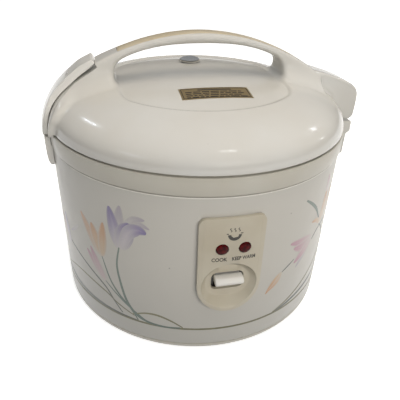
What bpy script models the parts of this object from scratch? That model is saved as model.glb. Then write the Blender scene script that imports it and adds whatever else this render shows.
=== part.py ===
"""Electric rice cooker with a side-hinged lid, carrying handle and one-lever cook switch.

The axis of the round body is the Z axis and the underside of the base pan is z = 0.
The control panel faces -Y, the lid hinge is at +X and the lid's release lever is at -X.
"""

import math

import bmesh
import bpy
from mathutils import Matrix, Vector

MM = 0.001

# Clearances and walls
GAP = 0.3 * MM                  # between pieces that touch
STEEL = 1.2 * MM                # outer shell sheet
SHEET = 0.8 * MM                # inner sheet metal
PLASTIC = 2.5 * MM              # moulded walls
LID_WALL = 3.0 * MM
FINE = 40                       # sides of large turned pieces
SMALL = 12                      # sides of small turned pieces

# Body
RING_R = 125.0 * MM             # outer radius of the upper ring
RIM_Z = 161.0 * MM              # plane where lid and ring meet
RING_H = 13.9 * MM
SHELL_STEP = 1.0 * MM           # shell set back from the ring
SHELL_TAPER = 2.0 * MM          # shell is this much narrower at its foot
SHELL_FOOT_Z = 7.0 * MM
RING_DECK_W = 11.5 * MM         # flat top of the ring
RING_LEDGE_DROP = 5.0 * MM      # ledge of the pot below the rim plane
RING_LIP = 7.0 * MM             # skirt of the ring inside the shell
FOOT_R = 8.0 * MM
FOOT_H = 3.0 * MM
FOOT_CIRCLE_R = 95.0 * MM
SCREW_CIRCLE_R = 100.0 * MM
SCREW_R = 1.6 * MM
SCREW_HEAD_R = 3.4 * MM
VENT_SLOT = (3.0 * MM, 22.0 * MM)

# Pot, case and heater
POT_R = 95.0 * MM
POT_WALL = 1.5 * MM
POT_FLOOR_Z = 53.3 * MM
POT_CORNER_R = 15.0 * MM
POT_FLANGE_R = 109.0 * MM
CASE_R = 102.3 * MM
CASE_FLOOR_Z = 18.0 * MM
HEATER_R = 76.0 * MM
HEATER_H = 11.0 * MM
BAND_H = 20.0 * MM
BAND_Z = 90.0 * MM
FRAME_Z = 9.0 * MM
FRAME_R = (86.0 * MM, 110.0 * MM)

# Thermostat and switch linkage
CAP_R = 16.5 * MM
HEATER_HOLE_R = CAP_R + 3.5 * MM
CAP_SKIRT = 17.0 * MM
MAGNET_R = 10.0 * MM
MAGNET_H = 4.5 * MM
MAGNET_TRAVEL = 5.0 * MM
ROD_R = 2.2 * MM
SWITCH_PIVOT_IN = 17.0 * MM     # pivot behind the ring's outer radius
SWITCH_W = 27.0 * MM
SWITCH_UNDER = 3.6 * MM            # underside of the nose below the pivot
SWITCH_H = 7.0 * MM
SWITCH_OUT = 3.5 * MM           # nose in front of the ring's outer radius
LINK_ARM = 6.3 * MM             # push link in front of the switch pivot
LINK_R = 1.5 * MM
TRIP_PIVOT_Y = -75.0 * MM
TRIP_Z = 6.4 * MM
TRIP_T = 2.0 * MM
TRIP_W = 8.0 * MM
PIN_R = 1.5 * MM
PIN_COVER = 1.7 * MM               # plastic in front of a pin's blind end

# Control panel
PANEL_W = 49.0 * MM
PANEL_TOP_Z = RIM_Z - 30.0 * MM
PANEL_ROUND_Z = RIM_Z - 90.0 * MM
PANEL_CORNER_R = 6.0 * MM
PANEL_PROUD = 2.2 * MM          # face in front of the ring's outer radius
PANEL_BACK = 7.5 * MM           # back of the panel behind the ring's outer radius
PANEL_LIP = 3.0 * MM            # border that covers the edge of the shell's cut-out
DISH_R = 21.0 * MM
DISH_FLOOR_R = 16.0 * MM
DISH_DEPTH = 7.0 * MM
SLOT_W = SWITCH_W + 4.0 * MM
SLOT_H = 16.6 * MM
SLOT_Z = PANEL_ROUND_Z
LAMP_R = 4.5 * MM
LAMP_X = (-7.5 * MM, 9.3 * MM)
LAMP_Z = RIM_Z - 55.7 * MM

# Power inlet
INLET_Z = 42.0 * MM
INLET_W = 36.0 * MM
INLET_H = 30.0 * MM
INLET_LIP = 2.5 * MM
INLET_DEPTH = 20.0 * MM
INLET_PIN_X = 6.5 * MM

# Lid
DOME_R = RING_R - 0.8 * MM
DOME_H = 37.5 * MM
DOME_POWER = 0.4
LINER_DROP = 8.5 * MM
GASKET_W = 4.6 * MM
KNOB_STEM_R = 3.0 * MM
VENT_Y = 36.0 * MM
VENT_R = 8.5 * MM
VENT_STEM_R = 4.0 * MM
LABEL_SIZE = (54.0 * MM, 19.0 * MM, 0.6 * MM)
LABEL_X = 2.5 * MM
LABEL_Y = -51.0 * MM

# Handle, lever and hinge
HANDLE_TOP = 67.5 * MM          # above the rim plane
HANDLE_T = 7.8 * MM
HANDLE_W = 24.0 * MM
LEG_W = 31.0 * MM
LEG_X = RING_R - 55.0 * MM      # inner face of each leg
COVER_W = 15.0 * MM
COVER_T = 1.2 * MM
LEVER_W = 28.0 * MM               # upper end of the lever
LEVER_SPREAD = 8.0 * MM           # each side is this much wider at the lower end
LEVER_TONGUE_R = 3.0 * MM
TONGUE_W = 10.0 * MM
HINGE_W = 28.0 * MM
BARREL_R = 10.0 * MM
HINGE_OUT = 10.5 * MM           # hinge axis outside the ring
HINGE_UP = 1.5 * MM
HINGE_BASE_H = 34.0 * MM
HINGE_PIN_R = 2.0 * MM
HINGE_SLOT = (-8.4 * MM, 5.4 * MM)
KEEPER_Z = (RIM_Z - 31.0 * MM, RIM_Z - 7.4 * MM)
KEEPER_OUT = 4.3 * MM


# ---------------------------------------------------------------- helpers

def clear_scene():
    for obj in list(bpy.data.objects):
        bpy.data.objects.remove(obj, do_unlink=True)


def material(name, colour, roughness, metallic=0.0):
    mat = bpy.data.materials.get(name)
    if mat is None:
        mat = bpy.data.materials.new(name)
        mat.use_nodes = True
        shader = mat.node_tree.nodes["Principled BSDF"]
        shader.inputs["Base Color"].default_value = (*colour, 1.0)
        shader.inputs["Roughness"].default_value = roughness
        shader.inputs["Metallic"].default_value = metallic
    return mat


def finish(name, mesh_builder, mat):
    """Turn a bmesh into a named object with outward faces."""
    bmesh.ops.remove_doubles(mesh_builder, verts=mesh_builder.verts, dist=1e-6)
    bmesh.ops.recalc_face_normals(mesh_builder, faces=mesh_builder.faces)
    mesh = bpy.data.meshes.new(name)
    mesh_builder.to_mesh(mesh)
    mesh_builder.free()
    obj = bpy.data.objects.new(name, mesh)
    bpy.context.collection.objects.link(obj)
    if mat is not None:
        mesh.materials.append(mat)
    mesh.shade_smooth()
    mesh.set_sharp_from_angle(angle=math.radians(35))
    return obj


def turned(name, profile, mat, sides=FINE, centre=(0.0, 0.0), closed=True):
    """Spin a profile of (radius, height) points about a vertical axis."""
    bm = bmesh.new()
    verts = [bm.verts.new((r, 0.0, z)) for r, z in profile]
    pairs = list(zip(verts, verts[1:]))
    if closed:
        pairs.append((verts[-1], verts[0]))
    for a, b in pairs:
        if a.co.x > 0 or b.co.x > 0:
            bm.edges.new((a, b))
    loose = [v for v in bm.verts if not v.link_edges]
    bmesh.ops.delete(bm, geom=loose, context="VERTS")
    bmesh.ops.spin(bm, geom=bm.verts[:] + bm.edges[:], cent=(0, 0, 0), axis=(0, 0, 1),
                   angle=math.tau, steps=sides, use_merge=True)
    bmesh.ops.remove_doubles(bm, verts=bm.verts, dist=1e-6)
    bm.normal_update()
    on_axis_points = [v for v in bm.verts if v.co.xy.length < 1e-7]
    poles = [v for v in on_axis_points if all(abs(f.normal.z) > 0.9999 for f in v.link_faces)]
    bmesh.ops.dissolve_verts(bm, verts=poles)
    bmesh.ops.translate(bm, verts=bm.verts, vec=(centre[0], centre[1], 0.0))
    return finish(name, bm, mat)


def turn_axis(obj, axis, at):
    """Lay a piece turned about Z along another axis, with its own origin moved to a point."""
    rot = Vector((0, 0, 1)).rotation_difference(Vector(axis)).to_matrix().to_4x4()
    obj.data.transform(Matrix.Translation(Vector(at)) @ rot)
    obj.data.update()
    return obj


def prism(name, outline, low, high, mat, axis="Y", bevel=0.0, steps=2):
    """Extrude an outline. For axis Y its points are (x, z), for X (y, z), for Z (x, y)."""
    place = {"Y": lambda a, b: (a, low, b), "X": lambda a, b: (low, a, b), "Z": lambda a, b: (a, b, low)}
    step = {"Y": (0, high - low, 0), "X": (high - low, 0, 0), "Z": (0, 0, high - low)}
    bm = bmesh.new()
    face = bm.faces.new([bm.verts.new(place[axis](a, b)) for a, b in outline])
    out = bmesh.ops.extrude_face_region(bm, geom=[face])
    moved = [g for g in out["geom"] if isinstance(g, bmesh.types.BMVert)]
    bmesh.ops.translate(bm, verts=moved, vec=step[axis])
    bm.normal_update()
    if bevel > 0:
        index = "XYZ".index(axis)
        rims = [e for e in bm.edges if abs(e.verts[0].co[index] - e.verts[1].co[index]) < 1e-7]
        bmesh.ops.bevel(bm, geom=rims, offset=bevel, segments=steps, profile=0.5, affect="EDGES",
                        clamp_overlap=True)
    return finish(name, bm, mat)


def block(name, low, high, mat, bevel=0.0):
    """A box between two corners, with its long edges rounded by a bevel if asked."""
    bm = bmesh.new()
    bmesh.ops.create_cube(bm, size=1.0)
    size = Vector(high) - Vector(low)
    bmesh.ops.scale(bm, verts=bm.verts, vec=size)
    bmesh.ops.translate(bm, verts=bm.verts, vec=(Vector(high) + Vector(low)) / 2)
    if bevel > 0:
        bmesh.ops.bevel(bm, geom=bm.edges[:], offset=bevel, segments=1, profile=0.5, affect="EDGES")
    return finish(name, bm, mat)


def rod(name, radius, start, end, mat=None, sides=SMALL):
    """A plain cylinder between two points."""
    start, end = Vector(start), Vector(end)
    obj = turned(name, [(0.0, 0.0), (radius, 0.0), (radius, (end - start).length),
                        (0.0, (end - start).length)],
                 mat, sides)
    return turn_axis(obj, (end - start).normalized(), start)


def combine(obj, tool, operation):
    """Cut, join or intersect with an exact Boolean, keep the result and drop the tool."""
    mod = obj.modifiers.new("shape", "BOOLEAN")
    mod.operation = operation
    mod.solver = "EXACT"
    mod.object = tool
    bpy.context.view_layer.update()
    shaped = bpy.data.meshes.new_from_object(obj.evaluated_get(bpy.context.evaluated_depsgraph_get()))
    shaped.name = obj.name
    obj.modifiers.clear()
    obj.data = shaped
    bpy.data.objects.remove(tool, do_unlink=True)
    return obj


def cut(obj, *tools):
    for tool in tools:
        combine(obj, tool, "DIFFERENCE")
    return obj


def join(obj, *tools):
    for tool in tools:
        combine(obj, tool, "UNION")
    return obj


def coil(name, radius, wire, turns, start, axis, length, mat):
    """A round-wire spring: a helix with a bevelled section and closed ends."""
    curve = bpy.data.curves.new(name, "CURVE")
    curve.dimensions = "3D"
    curve.bevel_depth = wire
    curve.bevel_resolution = 0
    curve.use_fill_caps = True
    count = int(turns * 10) + 1
    line = curve.splines.new("POLY")
    line.points.add(count - 1)
    rot = Vector((0, 0, 1)).rotation_difference(Vector(axis)).to_matrix()
    for i in range(count):
        turn = turns * i / (count - 1)
        local = Vector((radius * math.cos(math.tau * turn), radius * math.sin(math.tau * turn),
                        wire + (length - 2 * wire) * turn / turns))
        line.points[i].co = (*(Vector(start) + rot @ local), 1.0)
    obj = bpy.data.objects.new(name, curve)
    bpy.context.collection.objects.link(obj)
    curve.materials.append(mat)
    return obj


def on_axis(obj, point):
    """Move the object's origin to a point of its joint's axis; its shape stays where it is."""
    offset = Vector(point)
    obj.data.transform(Matrix.Translation(-offset))
    obj.location = offset
    return obj


def arc(centre, radius, start, end, count):
    """Points of an arc, angles in degrees."""
    return [(centre[0] + radius * math.cos(math.radians(start + (end - start) * i / count)),
             centre[1] + radius * math.sin(math.radians(start + (end - start) * i / count)))
            for i in range(count + 1)]


# ---------------------------------------------------------------- shared curves

def shell_r(z):
    """Outer radius of the steel shell at a height."""
    top = RIM_Z - RING_H
    share = (z - SHELL_FOOT_Z) / (top - SHELL_FOOT_Z)
    return RING_R - SHELL_STEP - SHELL_TAPER * (1.0 - share)


def dome_z(r):
    """Height of the lid's crown above the rim plane."""
    share = min(abs(r) / DOME_R, 1.0)
    return DOME_H * (1.0 - share * share) ** DOME_POWER


def dome_profile(inset, foot):
    """Crown points from the axis to the rim, set in by a wall thickness."""
    shares = (0.0, 0.32, 0.55, 0.72, 0.84, 0.92, 0.967, 0.99, 1.0)
    height_share = (DOME_H - inset) / DOME_H
    points = [(DOME_R * s * (DOME_R - inset) / DOME_R, RIM_Z + dome_z(DOME_R * s) * height_share)
              for s in shares[:-1]]
    return points + [(DOME_R - inset, RIM_Z + 3.0 * MM), (DOME_R - inset - 0.4 * MM, RIM_Z + foot)]


def handle_top(x):
    """Outer curve of the arched handle above the rim plane."""
    return HANDLE_TOP - 18.9 * MM * (x / (LEG_X + 10.0 * MM)) ** 2


def handle_under(x):
    """Underside of the arch above the rim plane."""
    share = abs(x) / (LEG_X - 6.0 * MM)
    return HANDLE_TOP - HANDLE_T - 11.2 * MM * share ** 2.7


def body_cutter(name, reach=GAP):
    """The ring and shell grown by a gap, for cutting what fits against them."""
    top = RIM_Z - RING_H
    profile = [(0.0, -5.0 * MM), (shell_r(SHELL_FOOT_Z) + reach, -5.0 * MM),
               (shell_r(SHELL_FOOT_Z) + reach, SHELL_FOOT_Z), (shell_r(top) + reach, top - GAP),
               (RING_R + reach, top - GAP), (RING_R + reach, RIM_Z + GAP / 2), (0.0, RIM_Z + GAP / 2)]
    return turned(name, profile, None, FINE, closed=False)


def dome_cutter(name):
    """The lid's crown grown by a gap."""
    points = dome_profile(-GAP, -4.0 * MM)
    return turned(name, points + [(0.0, RIM_Z - 4.0 * MM)], None, FINE, closed=False)


# ---------------------------------------------------------------- materials

def make_materials():
    return {
        "enamel": material("painted_steel_shell", (0.78, 0.75, 0.68), 0.35),
        "ivory": material("ivory_plastic", (0.77, 0.76, 0.70), 0.25),
        "cream": material("cream_plastic", (0.76, 0.70, 0.56), 0.35),
        "beige": material("beige_plastic", (0.62, 0.55, 0.42), 0.4),
        "black": material("black_phenolic", (0.04, 0.04, 0.04), 0.5),
        "rubber": material("rubber", (0.08, 0.08, 0.08), 0.8),
        "gasket": material("silicone_gasket", (0.55, 0.55, 0.53), 0.7),
        "steel": material("spring_steel", (0.6, 0.6, 0.6), 0.3, 1.0),
        "zinc": material("galvanised_sheet", (0.6, 0.61, 0.62), 0.45, 1.0),
        "alu": material("aluminium", (0.75, 0.76, 0.77), 0.35, 1.0),
        "cast": material("cast_aluminium", (0.55, 0.55, 0.56), 0.55, 1.0),
        "ferrite": material("ferrite", (0.1, 0.1, 0.11), 0.6),
        "lens": material("red_lens", (0.35, 0.01, 0.01), 0.15),
        "board": material("circuit_board", (0.35, 0.22, 0.08), 0.6),
        "foil": material("foil_label", (0.45, 0.35, 0.2), 0.4, 0.6),
        "brass": material("brass", (0.75, 0.6, 0.3), 0.35, 1.0),
    }


# ---------------------------------------------------------------- body

def make_shell(mats):
    """Tapered steel tube with cut-outs for the panel and the inlet."""
    top = RIM_Z - RING_H - GAP
    foot = SHELL_FOOT_Z
    shell = turned("outer_shell", [
        (shell_r(foot), foot), (shell_r(top), top), (shell_r(top) - STEEL, top),
        (shell_r(foot) - STEEL, foot)], mats["enamel"])
    window = prism("panel_window", panel_outline(PANEL_LIP - GAP), -RING_R - 10 * MM, -RING_R / 2, None)
    inlet = block("inlet_window", (-INLET_W / 2 + INLET_LIP - GAP, RING_R / 2,
                                   INLET_Z - INLET_H / 2 + INLET_LIP - GAP),
                  (INLET_W / 2 - INLET_LIP + GAP, RING_R + 10 * MM,
                   INLET_Z + INLET_H / 2 - INLET_LIP + GAP), None)
    return cut(shell, window, inlet)


def polar(radius, degrees):
    return radius * math.cos(math.radians(degrees)), radius * math.sin(math.radians(degrees))


def make_base(mats):
    """Bottom pan with vents and screw posts, its screws and its rubber feet."""
    foot_r = shell_r(SHELL_FOOT_Z)
    lip = foot_r - STEEL - GAP
    floor = PLASTIC + 0.5 * MM
    pan = turned("base_pan", [
        (0.0, 0.0), (foot_r - 6.0 * MM, 0.0), (foot_r - 2.2 * MM, 1.6 * MM), (foot_r - 0.2 * MM, 4.5 * MM),
        (foot_r - 0.2 * MM, SHELL_FOOT_Z - GAP), (lip, SHELL_FOOT_Z - GAP), (lip, SHELL_FOOT_Z * 2),
        (lip - PLASTIC, SHELL_FOOT_Z * 2), (lip - PLASTIC, floor), (0.0,
            floor)], mats["cream"], closed=False)
    for index in range(3):
        at = polar(SCREW_CIRCLE_R, 90 + 120 * index)
        join(pan, turned("post", [(0, floor - 1 * MM), (4.5 * MM, floor - 1 * MM),
                                  (4.5 * MM, FRAME_Z - GAP),
                                  (0, FRAME_Z - GAP)], None, SMALL, at, closed=False))
        hole = SCREW_R + GAP
        head = SCREW_HEAD_R + GAP
        cut(pan, turned("screw_hole", [(0, -1 * MM), (head, -1 * MM), (head, 2.2 * MM), (hole, 2.2 * MM),
                                       (hole, FRAME_Z + 1 * MM), (0, FRAME_Z + 1 * MM)], None, SMALL, at,
                                       closed=False))
        make_screw("base_screw_%d" % (index + 1), at, 0.2 * MM, 1.7 * MM, FRAME_Z + 3 * MM, mats)
    for index in range(4):
        at = polar(FOOT_CIRCLE_R, 45 + 90 * index)
        stem = 2.5 * MM
        cut(pan, turned("foot_hole", [(0, -1 * MM), (stem + GAP, -1 * MM), (stem + GAP, floor + 1 * MM),
                                      (0, floor + 1 * MM)], None, SMALL, at, closed=False))
        turned("foot_%d" % (index + 1), [
            (0, -FOOT_H), (FOOT_R - 1.0 * MM, -FOOT_H), (FOOT_R, -GAP), (stem, -GAP), (stem, floor + GAP),
            (stem + 1.0 * MM, floor + GAP), (stem, floor + 2.0 * MM), (0, floor + 2.0 * MM)],
            mats["rubber"], SMALL, at, closed=False)
    for index in range(6):
        angle = 60 * index + 30
        slot = block("vent_slot", (38 * MM, -VENT_SLOT[0] / 2, -1 * MM),
                     (38 * MM + VENT_SLOT[1], VENT_SLOT[0] / 2, floor + 1 * MM), None)
        slot.data.transform(Matrix.Rotation(math.radians(angle), 4, "Z"))
        cut(pan, slot)
    return pan


def make_screw(name, at, head_low, head_top, tip, mats):
    """Vertical screw with its head below and its tip above, and a slot in the head."""
    screw = turned(name, [(0, head_low), (SCREW_HEAD_R, head_low), (SCREW_HEAD_R, head_top),
                          (SCREW_R, head_top),
                          (SCREW_R, tip - 1 * MM), (0, tip)], mats["steel"], 12, at, closed=False)
    slot = block("driver_slot", (at[0] - SCREW_HEAD_R - MM, at[1] - 0.4 * MM, head_low - MM),
                 (at[0] + SCREW_HEAD_R + MM, at[1] + 0.4 * MM, head_low + 0.8 * MM), None)
    return cut(screw, slot)


def make_ring(mats):
    """Upper ring: outer wall, flat deck, sloping gutter and the ledge that carries the pot."""
    low = RIM_Z - RING_H
    top = RIM_Z - GAP
    deck_in = RING_R - RING_DECK_W
    ledge = RIM_Z - RING_LEDGE_DROP
    inner = CASE_R + 2.2 * MM
    lip = shell_r(low) - STEEL - GAP * 2
    ring = turned("upper_ring", [
        (RING_R, low), (RING_R, top - 0.9 * MM), (RING_R - 0.9 * MM, top), (deck_in, top),
        (POT_FLANGE_R + 2.0 * MM, ledge), (inner, ledge), (inner, low + 2 * MM), (inner + PLASTIC,
            low + 2 * MM),
        (inner + PLASTIC, ledge - PLASTIC), (POT_FLANGE_R + 3.5 * MM, ledge - PLASTIC),
        (deck_in + 1.2 * MM, top - PLASTIC), (lip - PLASTIC, top - PLASTIC), (lip - PLASTIC,
            low - RING_LIP),
        (lip, low - RING_LIP), (lip, low)], mats["cream"])
    notch = block("hook_notch", (-RING_R - MM, -6.5 * MM, RIM_Z - 9.0 * MM),
                  (-RING_R + 4.8 * MM, 6.5 * MM, RIM_Z + MM), None)
    return cut(ring, notch)


def make_keeper(mats):
    """Tab on the ring's left side that continues the line of the release lever."""
    low, high = KEEPER_Z
    out = -RING_R - KEEPER_OUT
    half = LEVER_W / 2 + LEVER_SPREAD
    keeper = prism("latch_keeper", [
        (out + 2.0 * MM, low), (out + 0.6 * MM, low + 3.5 * MM), (out, high - 1.2 * MM), (out + 1.0 * MM,
            high),
        (-RING_R + 6 * MM, high), (-RING_R + 6 * MM,
                                   low)], -half, half, mats["ivory"], bevel=1.0 * MM, steps=1)
    return cut(keeper, body_cutter("keeper_fit"))


def hinge_axis():
    return RING_R + HINGE_OUT, RIM_Z + HINGE_UP


def make_hinge_base(mats):
    """Hinge block on the body with a round tongue that the pin goes through."""
    cx, cz = hinge_axis()
    top = cz - BARREL_R - GAP
    low = top - HINGE_BASE_H
    half = HINGE_W / 2
    inside = RING_R - 8 * MM
    base = prism("hinge_base", [
        (inside, low), (cx + 6.4 * MM, low), (cx + 6.4 * MM, top - 15 * MM), (cx + 8.0 * MM,
            top - 13.5 * MM),
        (cx + BARREL_R - 0.6 * MM, top - 1 * MM), (cx + BARREL_R - 1.6 * MM, top), (inside, top)],
        -half, half, mats["ivory"], bevel=1.2 * MM, steps=1)
    tongue_low, tongue_high = HINGE_SLOT[0] + 5.2 * MM, HINGE_SLOT[1] - GAP
    tongue = prism("tongue", [(cx - 4 * MM, top - 3 * MM), (cx + 4 * MM, top - 3 * MM)]
                   + arc((cx, cz), BARREL_R - 3.2 * MM, -55, 235, 12), tongue_low, tongue_high, None)
    join(base, tongue)
    cut(base, body_cutter("hinge_fit"), rod("pin_bore", HINGE_PIN_R + GAP, (cx, -half, cz), (cx, half, cz)))
    rod("hinge_pin", HINGE_PIN_R, (cx, -half + PIN_COVER + GAP, cz), (cx, half - PIN_COVER, cz),
        mats["steel"])
    coil("hinge_spring", 4.0 * MM, 0.6 * MM, 3, (cx, HINGE_SLOT[0] + 0.6 * MM, cz), (0, 1, 0), 4.2 * MM,
         mats["steel"])


def make_case(mats):
    """Sheet case round the pot, its keep-warm band and the frame that carries it."""
    low = CASE_FLOOR_Z
    top = RIM_Z - RING_H + 2 * MM - GAP
    wall = SHEET
    turned("inner_case", [
        (24 * MM, low), (CASE_R - 4 * MM, low), (CASE_R, low + 4 * MM), (CASE_R,
            top - wall), (CASE_R + 4.2 * MM, top - wall),
        (CASE_R + 4.2 * MM, top), (CASE_R - wall, top), (CASE_R - wall, low + 4.3 * MM), (CASE_R - 4.3 * MM,
            low + wall),
        (24 * MM, low + wall)], mats["zinc"])
    band_in = CASE_R + GAP
    turned("side_heater_band", [(band_in, BAND_Z), (band_in + 1.5 * MM, BAND_Z),
                                (band_in + 1.5 * MM, BAND_Z + BAND_H),
                                (band_in, BAND_Z + BAND_H)], mats["alu"], 40)
    frame_in, frame_out = FRAME_R
    z = FRAME_Z
    frame = turned("support_frame", [
        (frame_in, z), (frame_out, z), (frame_out, z + 1.5 * MM), (frame_in + 6 * MM, z + 1.5 * MM),
        (frame_in + 6 * MM, low - GAP), (frame_in + 4.5 * MM, low - GAP), (frame_in + 4.5 * MM,
            z + 1.5 * MM),
        (frame_in, z + 1.5 * MM)], mats["zinc"], 40)
    for index in range(3):
        x, y = polar(SCREW_CIRCLE_R, 90 + 120 * index)
        cut(frame, rod("frame_hole", SCREW_R + GAP, (x, y, z - MM), (x, y, z + 3 * MM), sides=12))


def make_heater(mats):
    """Cast heater disc on three posts, with a fuse under it."""
    top = POT_FLOOR_Z - GAP
    low = top - HEATER_H
    turned("heater_plate", [
        (HEATER_HOLE_R, low), (HEATER_R - 2 * MM, low), (HEATER_R, low + 2 * MM), (HEATER_R, top - 2 * MM),
        (HEATER_R - 2 * MM, top), (HEATER_HOLE_R, top)], mats["cast"], 40)
    for index in range(3):
        x, y = polar(HEATER_R - 16 * MM, 90 + 120 * index)
        rod("heater_post_%d" % (index + 1), 3.5 * MM, (x, y, CASE_FLOOR_Z + SHEET + GAP), (x, y, low - GAP),
            mats["steel"], 12)
    z = low - GAP - 2.5 * MM
    rod("thermal_fuse", 2.5 * MM, (30 * MM, 30 * MM, z), (52 * MM, 30 * MM, z), mats["alu"], 12)


def make_pot(mats):
    """Drawn aluminium pot with a rolled-out rim that hangs on the ring's ledge."""
    seat = RIM_Z - RING_LEDGE_DROP + GAP
    corner = (POT_R - POT_CORNER_R, POT_FLOOR_Z + POT_CORNER_R)
    outer = arc(corner, POT_CORNER_R, -90, 0, 4)
    inner = arc(corner, POT_CORNER_R - POT_WALL, 0, -90, 4)
    rim = [(POT_R, seat), (POT_FLANGE_R, seat), (POT_FLANGE_R, seat + 1.2 * MM),
           (POT_R + 1.5 * MM, seat + 1.2 * MM),
           (POT_R - POT_WALL, seat - 1.5 * MM)]
    return turned("inner_pot", [(0, POT_FLOOR_Z)] + outer + rim + inner + [(0, POT_FLOOR_Z + POT_WALL)],
                  mats["alu"],
                  closed=False)


# ---------------------------------------------------------------- thermostat and linkage

def cap_levels():
    """Heights of the sensor cap's top, the fixed magnet's underside and the moving magnet's top."""
    top = POT_FLOOR_Z - GAP
    fixed_low = top - 1.3 * MM - 5.2 * MM
    return top, fixed_low, fixed_low - MAGNET_TRAVEL


def make_thermostat(mats):
    """Spring-loaded sensor cap with a ferrite disc, its housing, and the magnet that it holds."""
    top, fixed_low, magnet_top = cap_levels()
    skirt = top - CAP_SKIRT
    wall = 1.0 * MM
    cap = turned("sensor_cap", [
        (0, top), (CAP_R - wall, top), (CAP_R, top - wall), (CAP_R, skirt), (CAP_R - wall, skirt),
        (CAP_R - wall, top - wall), (0, top - wall)], mats["alu"], 24, closed=False)
    on_axis(cap, (0, 0, top))
    upper = turned("sensor_ferrite", [(0, fixed_low), (MAGNET_R + MM, fixed_low),
                                      (MAGNET_R + MM, top - wall - GAP),
                                      (0, top - wall - GAP)], mats["ferrite"], 20, closed=False)
    on_axis(upper, (0, 0, top))
    inner, outer = CAP_R + 0.7 * MM, CAP_R + 2.3 * MM
    low = CASE_FLOOR_Z - 3 * MM
    seat = CASE_FLOOR_Z + SHEET + GAP
    turned("sensor_housing", [
        (inner - 4.5 * MM, low), (outer, low), (outer, seat), (outer + 11 * MM, seat), (outer + 11 * MM,
            seat + 1.2 * MM),
        (outer, seat + 1.2 * MM), (outer, top - 7 * MM), (inner, top - 7 * MM), (inner, low + 1.2 * MM),
        (inner - 4.5 * MM, low + 1.2 * MM)], mats["zinc"], 24)
    spring_low = low + 1.2 * MM + GAP
    coil("sensor_spring", CAP_R - 2.0 * MM, 0.7 * MM, 5, (0, 0, spring_low), (0, 0, 1),
         skirt - GAP - spring_low,
         mats["steel"])
    rod_low = TRIP_Z + TRIP_T + GAP
    magnet = turned("lower_magnet", [(0, magnet_top - MAGNET_H), (MAGNET_R, magnet_top - MAGNET_H),
                                     (MAGNET_R, magnet_top),
                                     (0, magnet_top)], mats["ferrite"], 20, closed=False)
    on_axis(magnet, (0, 0, rod_low))
    on_axis(rod("magnet_rod", ROD_R, (0, 0, rod_low), (0, 0, magnet_top - MAGNET_H - GAP), mats["steel"],
                12),
            (0, 0, rod_low))


def switch_pivot():
    return -RING_R + SWITCH_PIVOT_IN, PANEL_ROUND_Z + 3.0 * MM


def make_trip_lever(mats):
    """Rocker under the case: its front end is pushed down and its rear end lifts the magnet rod."""
    front = switch_pivot()[0] - LINK_ARM - 2.5 * MM
    rear = 5 * MM
    boss = 3.3 * MM
    pivot_z = TRIP_Z + boss
    lever = block("trip_lever", (-TRIP_W / 2, front, TRIP_Z), (TRIP_W / 2, rear, TRIP_Z + TRIP_T),
                  mats["zinc"])
    join(lever, rod("boss", boss, (-TRIP_W / 2, TRIP_PIVOT_Y, pivot_z),
                    (TRIP_W / 2, TRIP_PIVOT_Y, pivot_z)))
    cut(lever, rod("bore", PIN_R + GAP, (-TRIP_W, TRIP_PIVOT_Y, pivot_z), (TRIP_W, TRIP_PIVOT_Y, pivot_z)))
    on_axis(lever, (0, TRIP_PIVOT_Y, pivot_z))
    ear = TRIP_W / 2 + GAP
    foot = PLASTIC + 0.5 * MM + GAP
    bracket = block("lever_bracket", (-ear - 2 * MM, TRIP_PIVOT_Y - 6 * MM, foot),
                    (ear + 2 * MM, TRIP_PIVOT_Y + 6 * MM, pivot_z + 3.5 * MM), mats["zinc"])
    cut(bracket, block("lever_room", (-ear, TRIP_PIVOT_Y - 8 * MM, foot + 1 * MM),
                       (ear, TRIP_PIVOT_Y + 8 * MM, pivot_z + 5 * MM), None),
        rod("bore", PIN_R + GAP, (-TRIP_W * 2, TRIP_PIVOT_Y, pivot_z), (TRIP_W * 2, TRIP_PIVOT_Y, pivot_z)))
    rod("trip_pin", PIN_R, (-ear - 3 * MM, TRIP_PIVOT_Y, pivot_z), (ear + 3 * MM, TRIP_PIVOT_Y, pivot_z),
        mats["steel"], 12)


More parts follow.
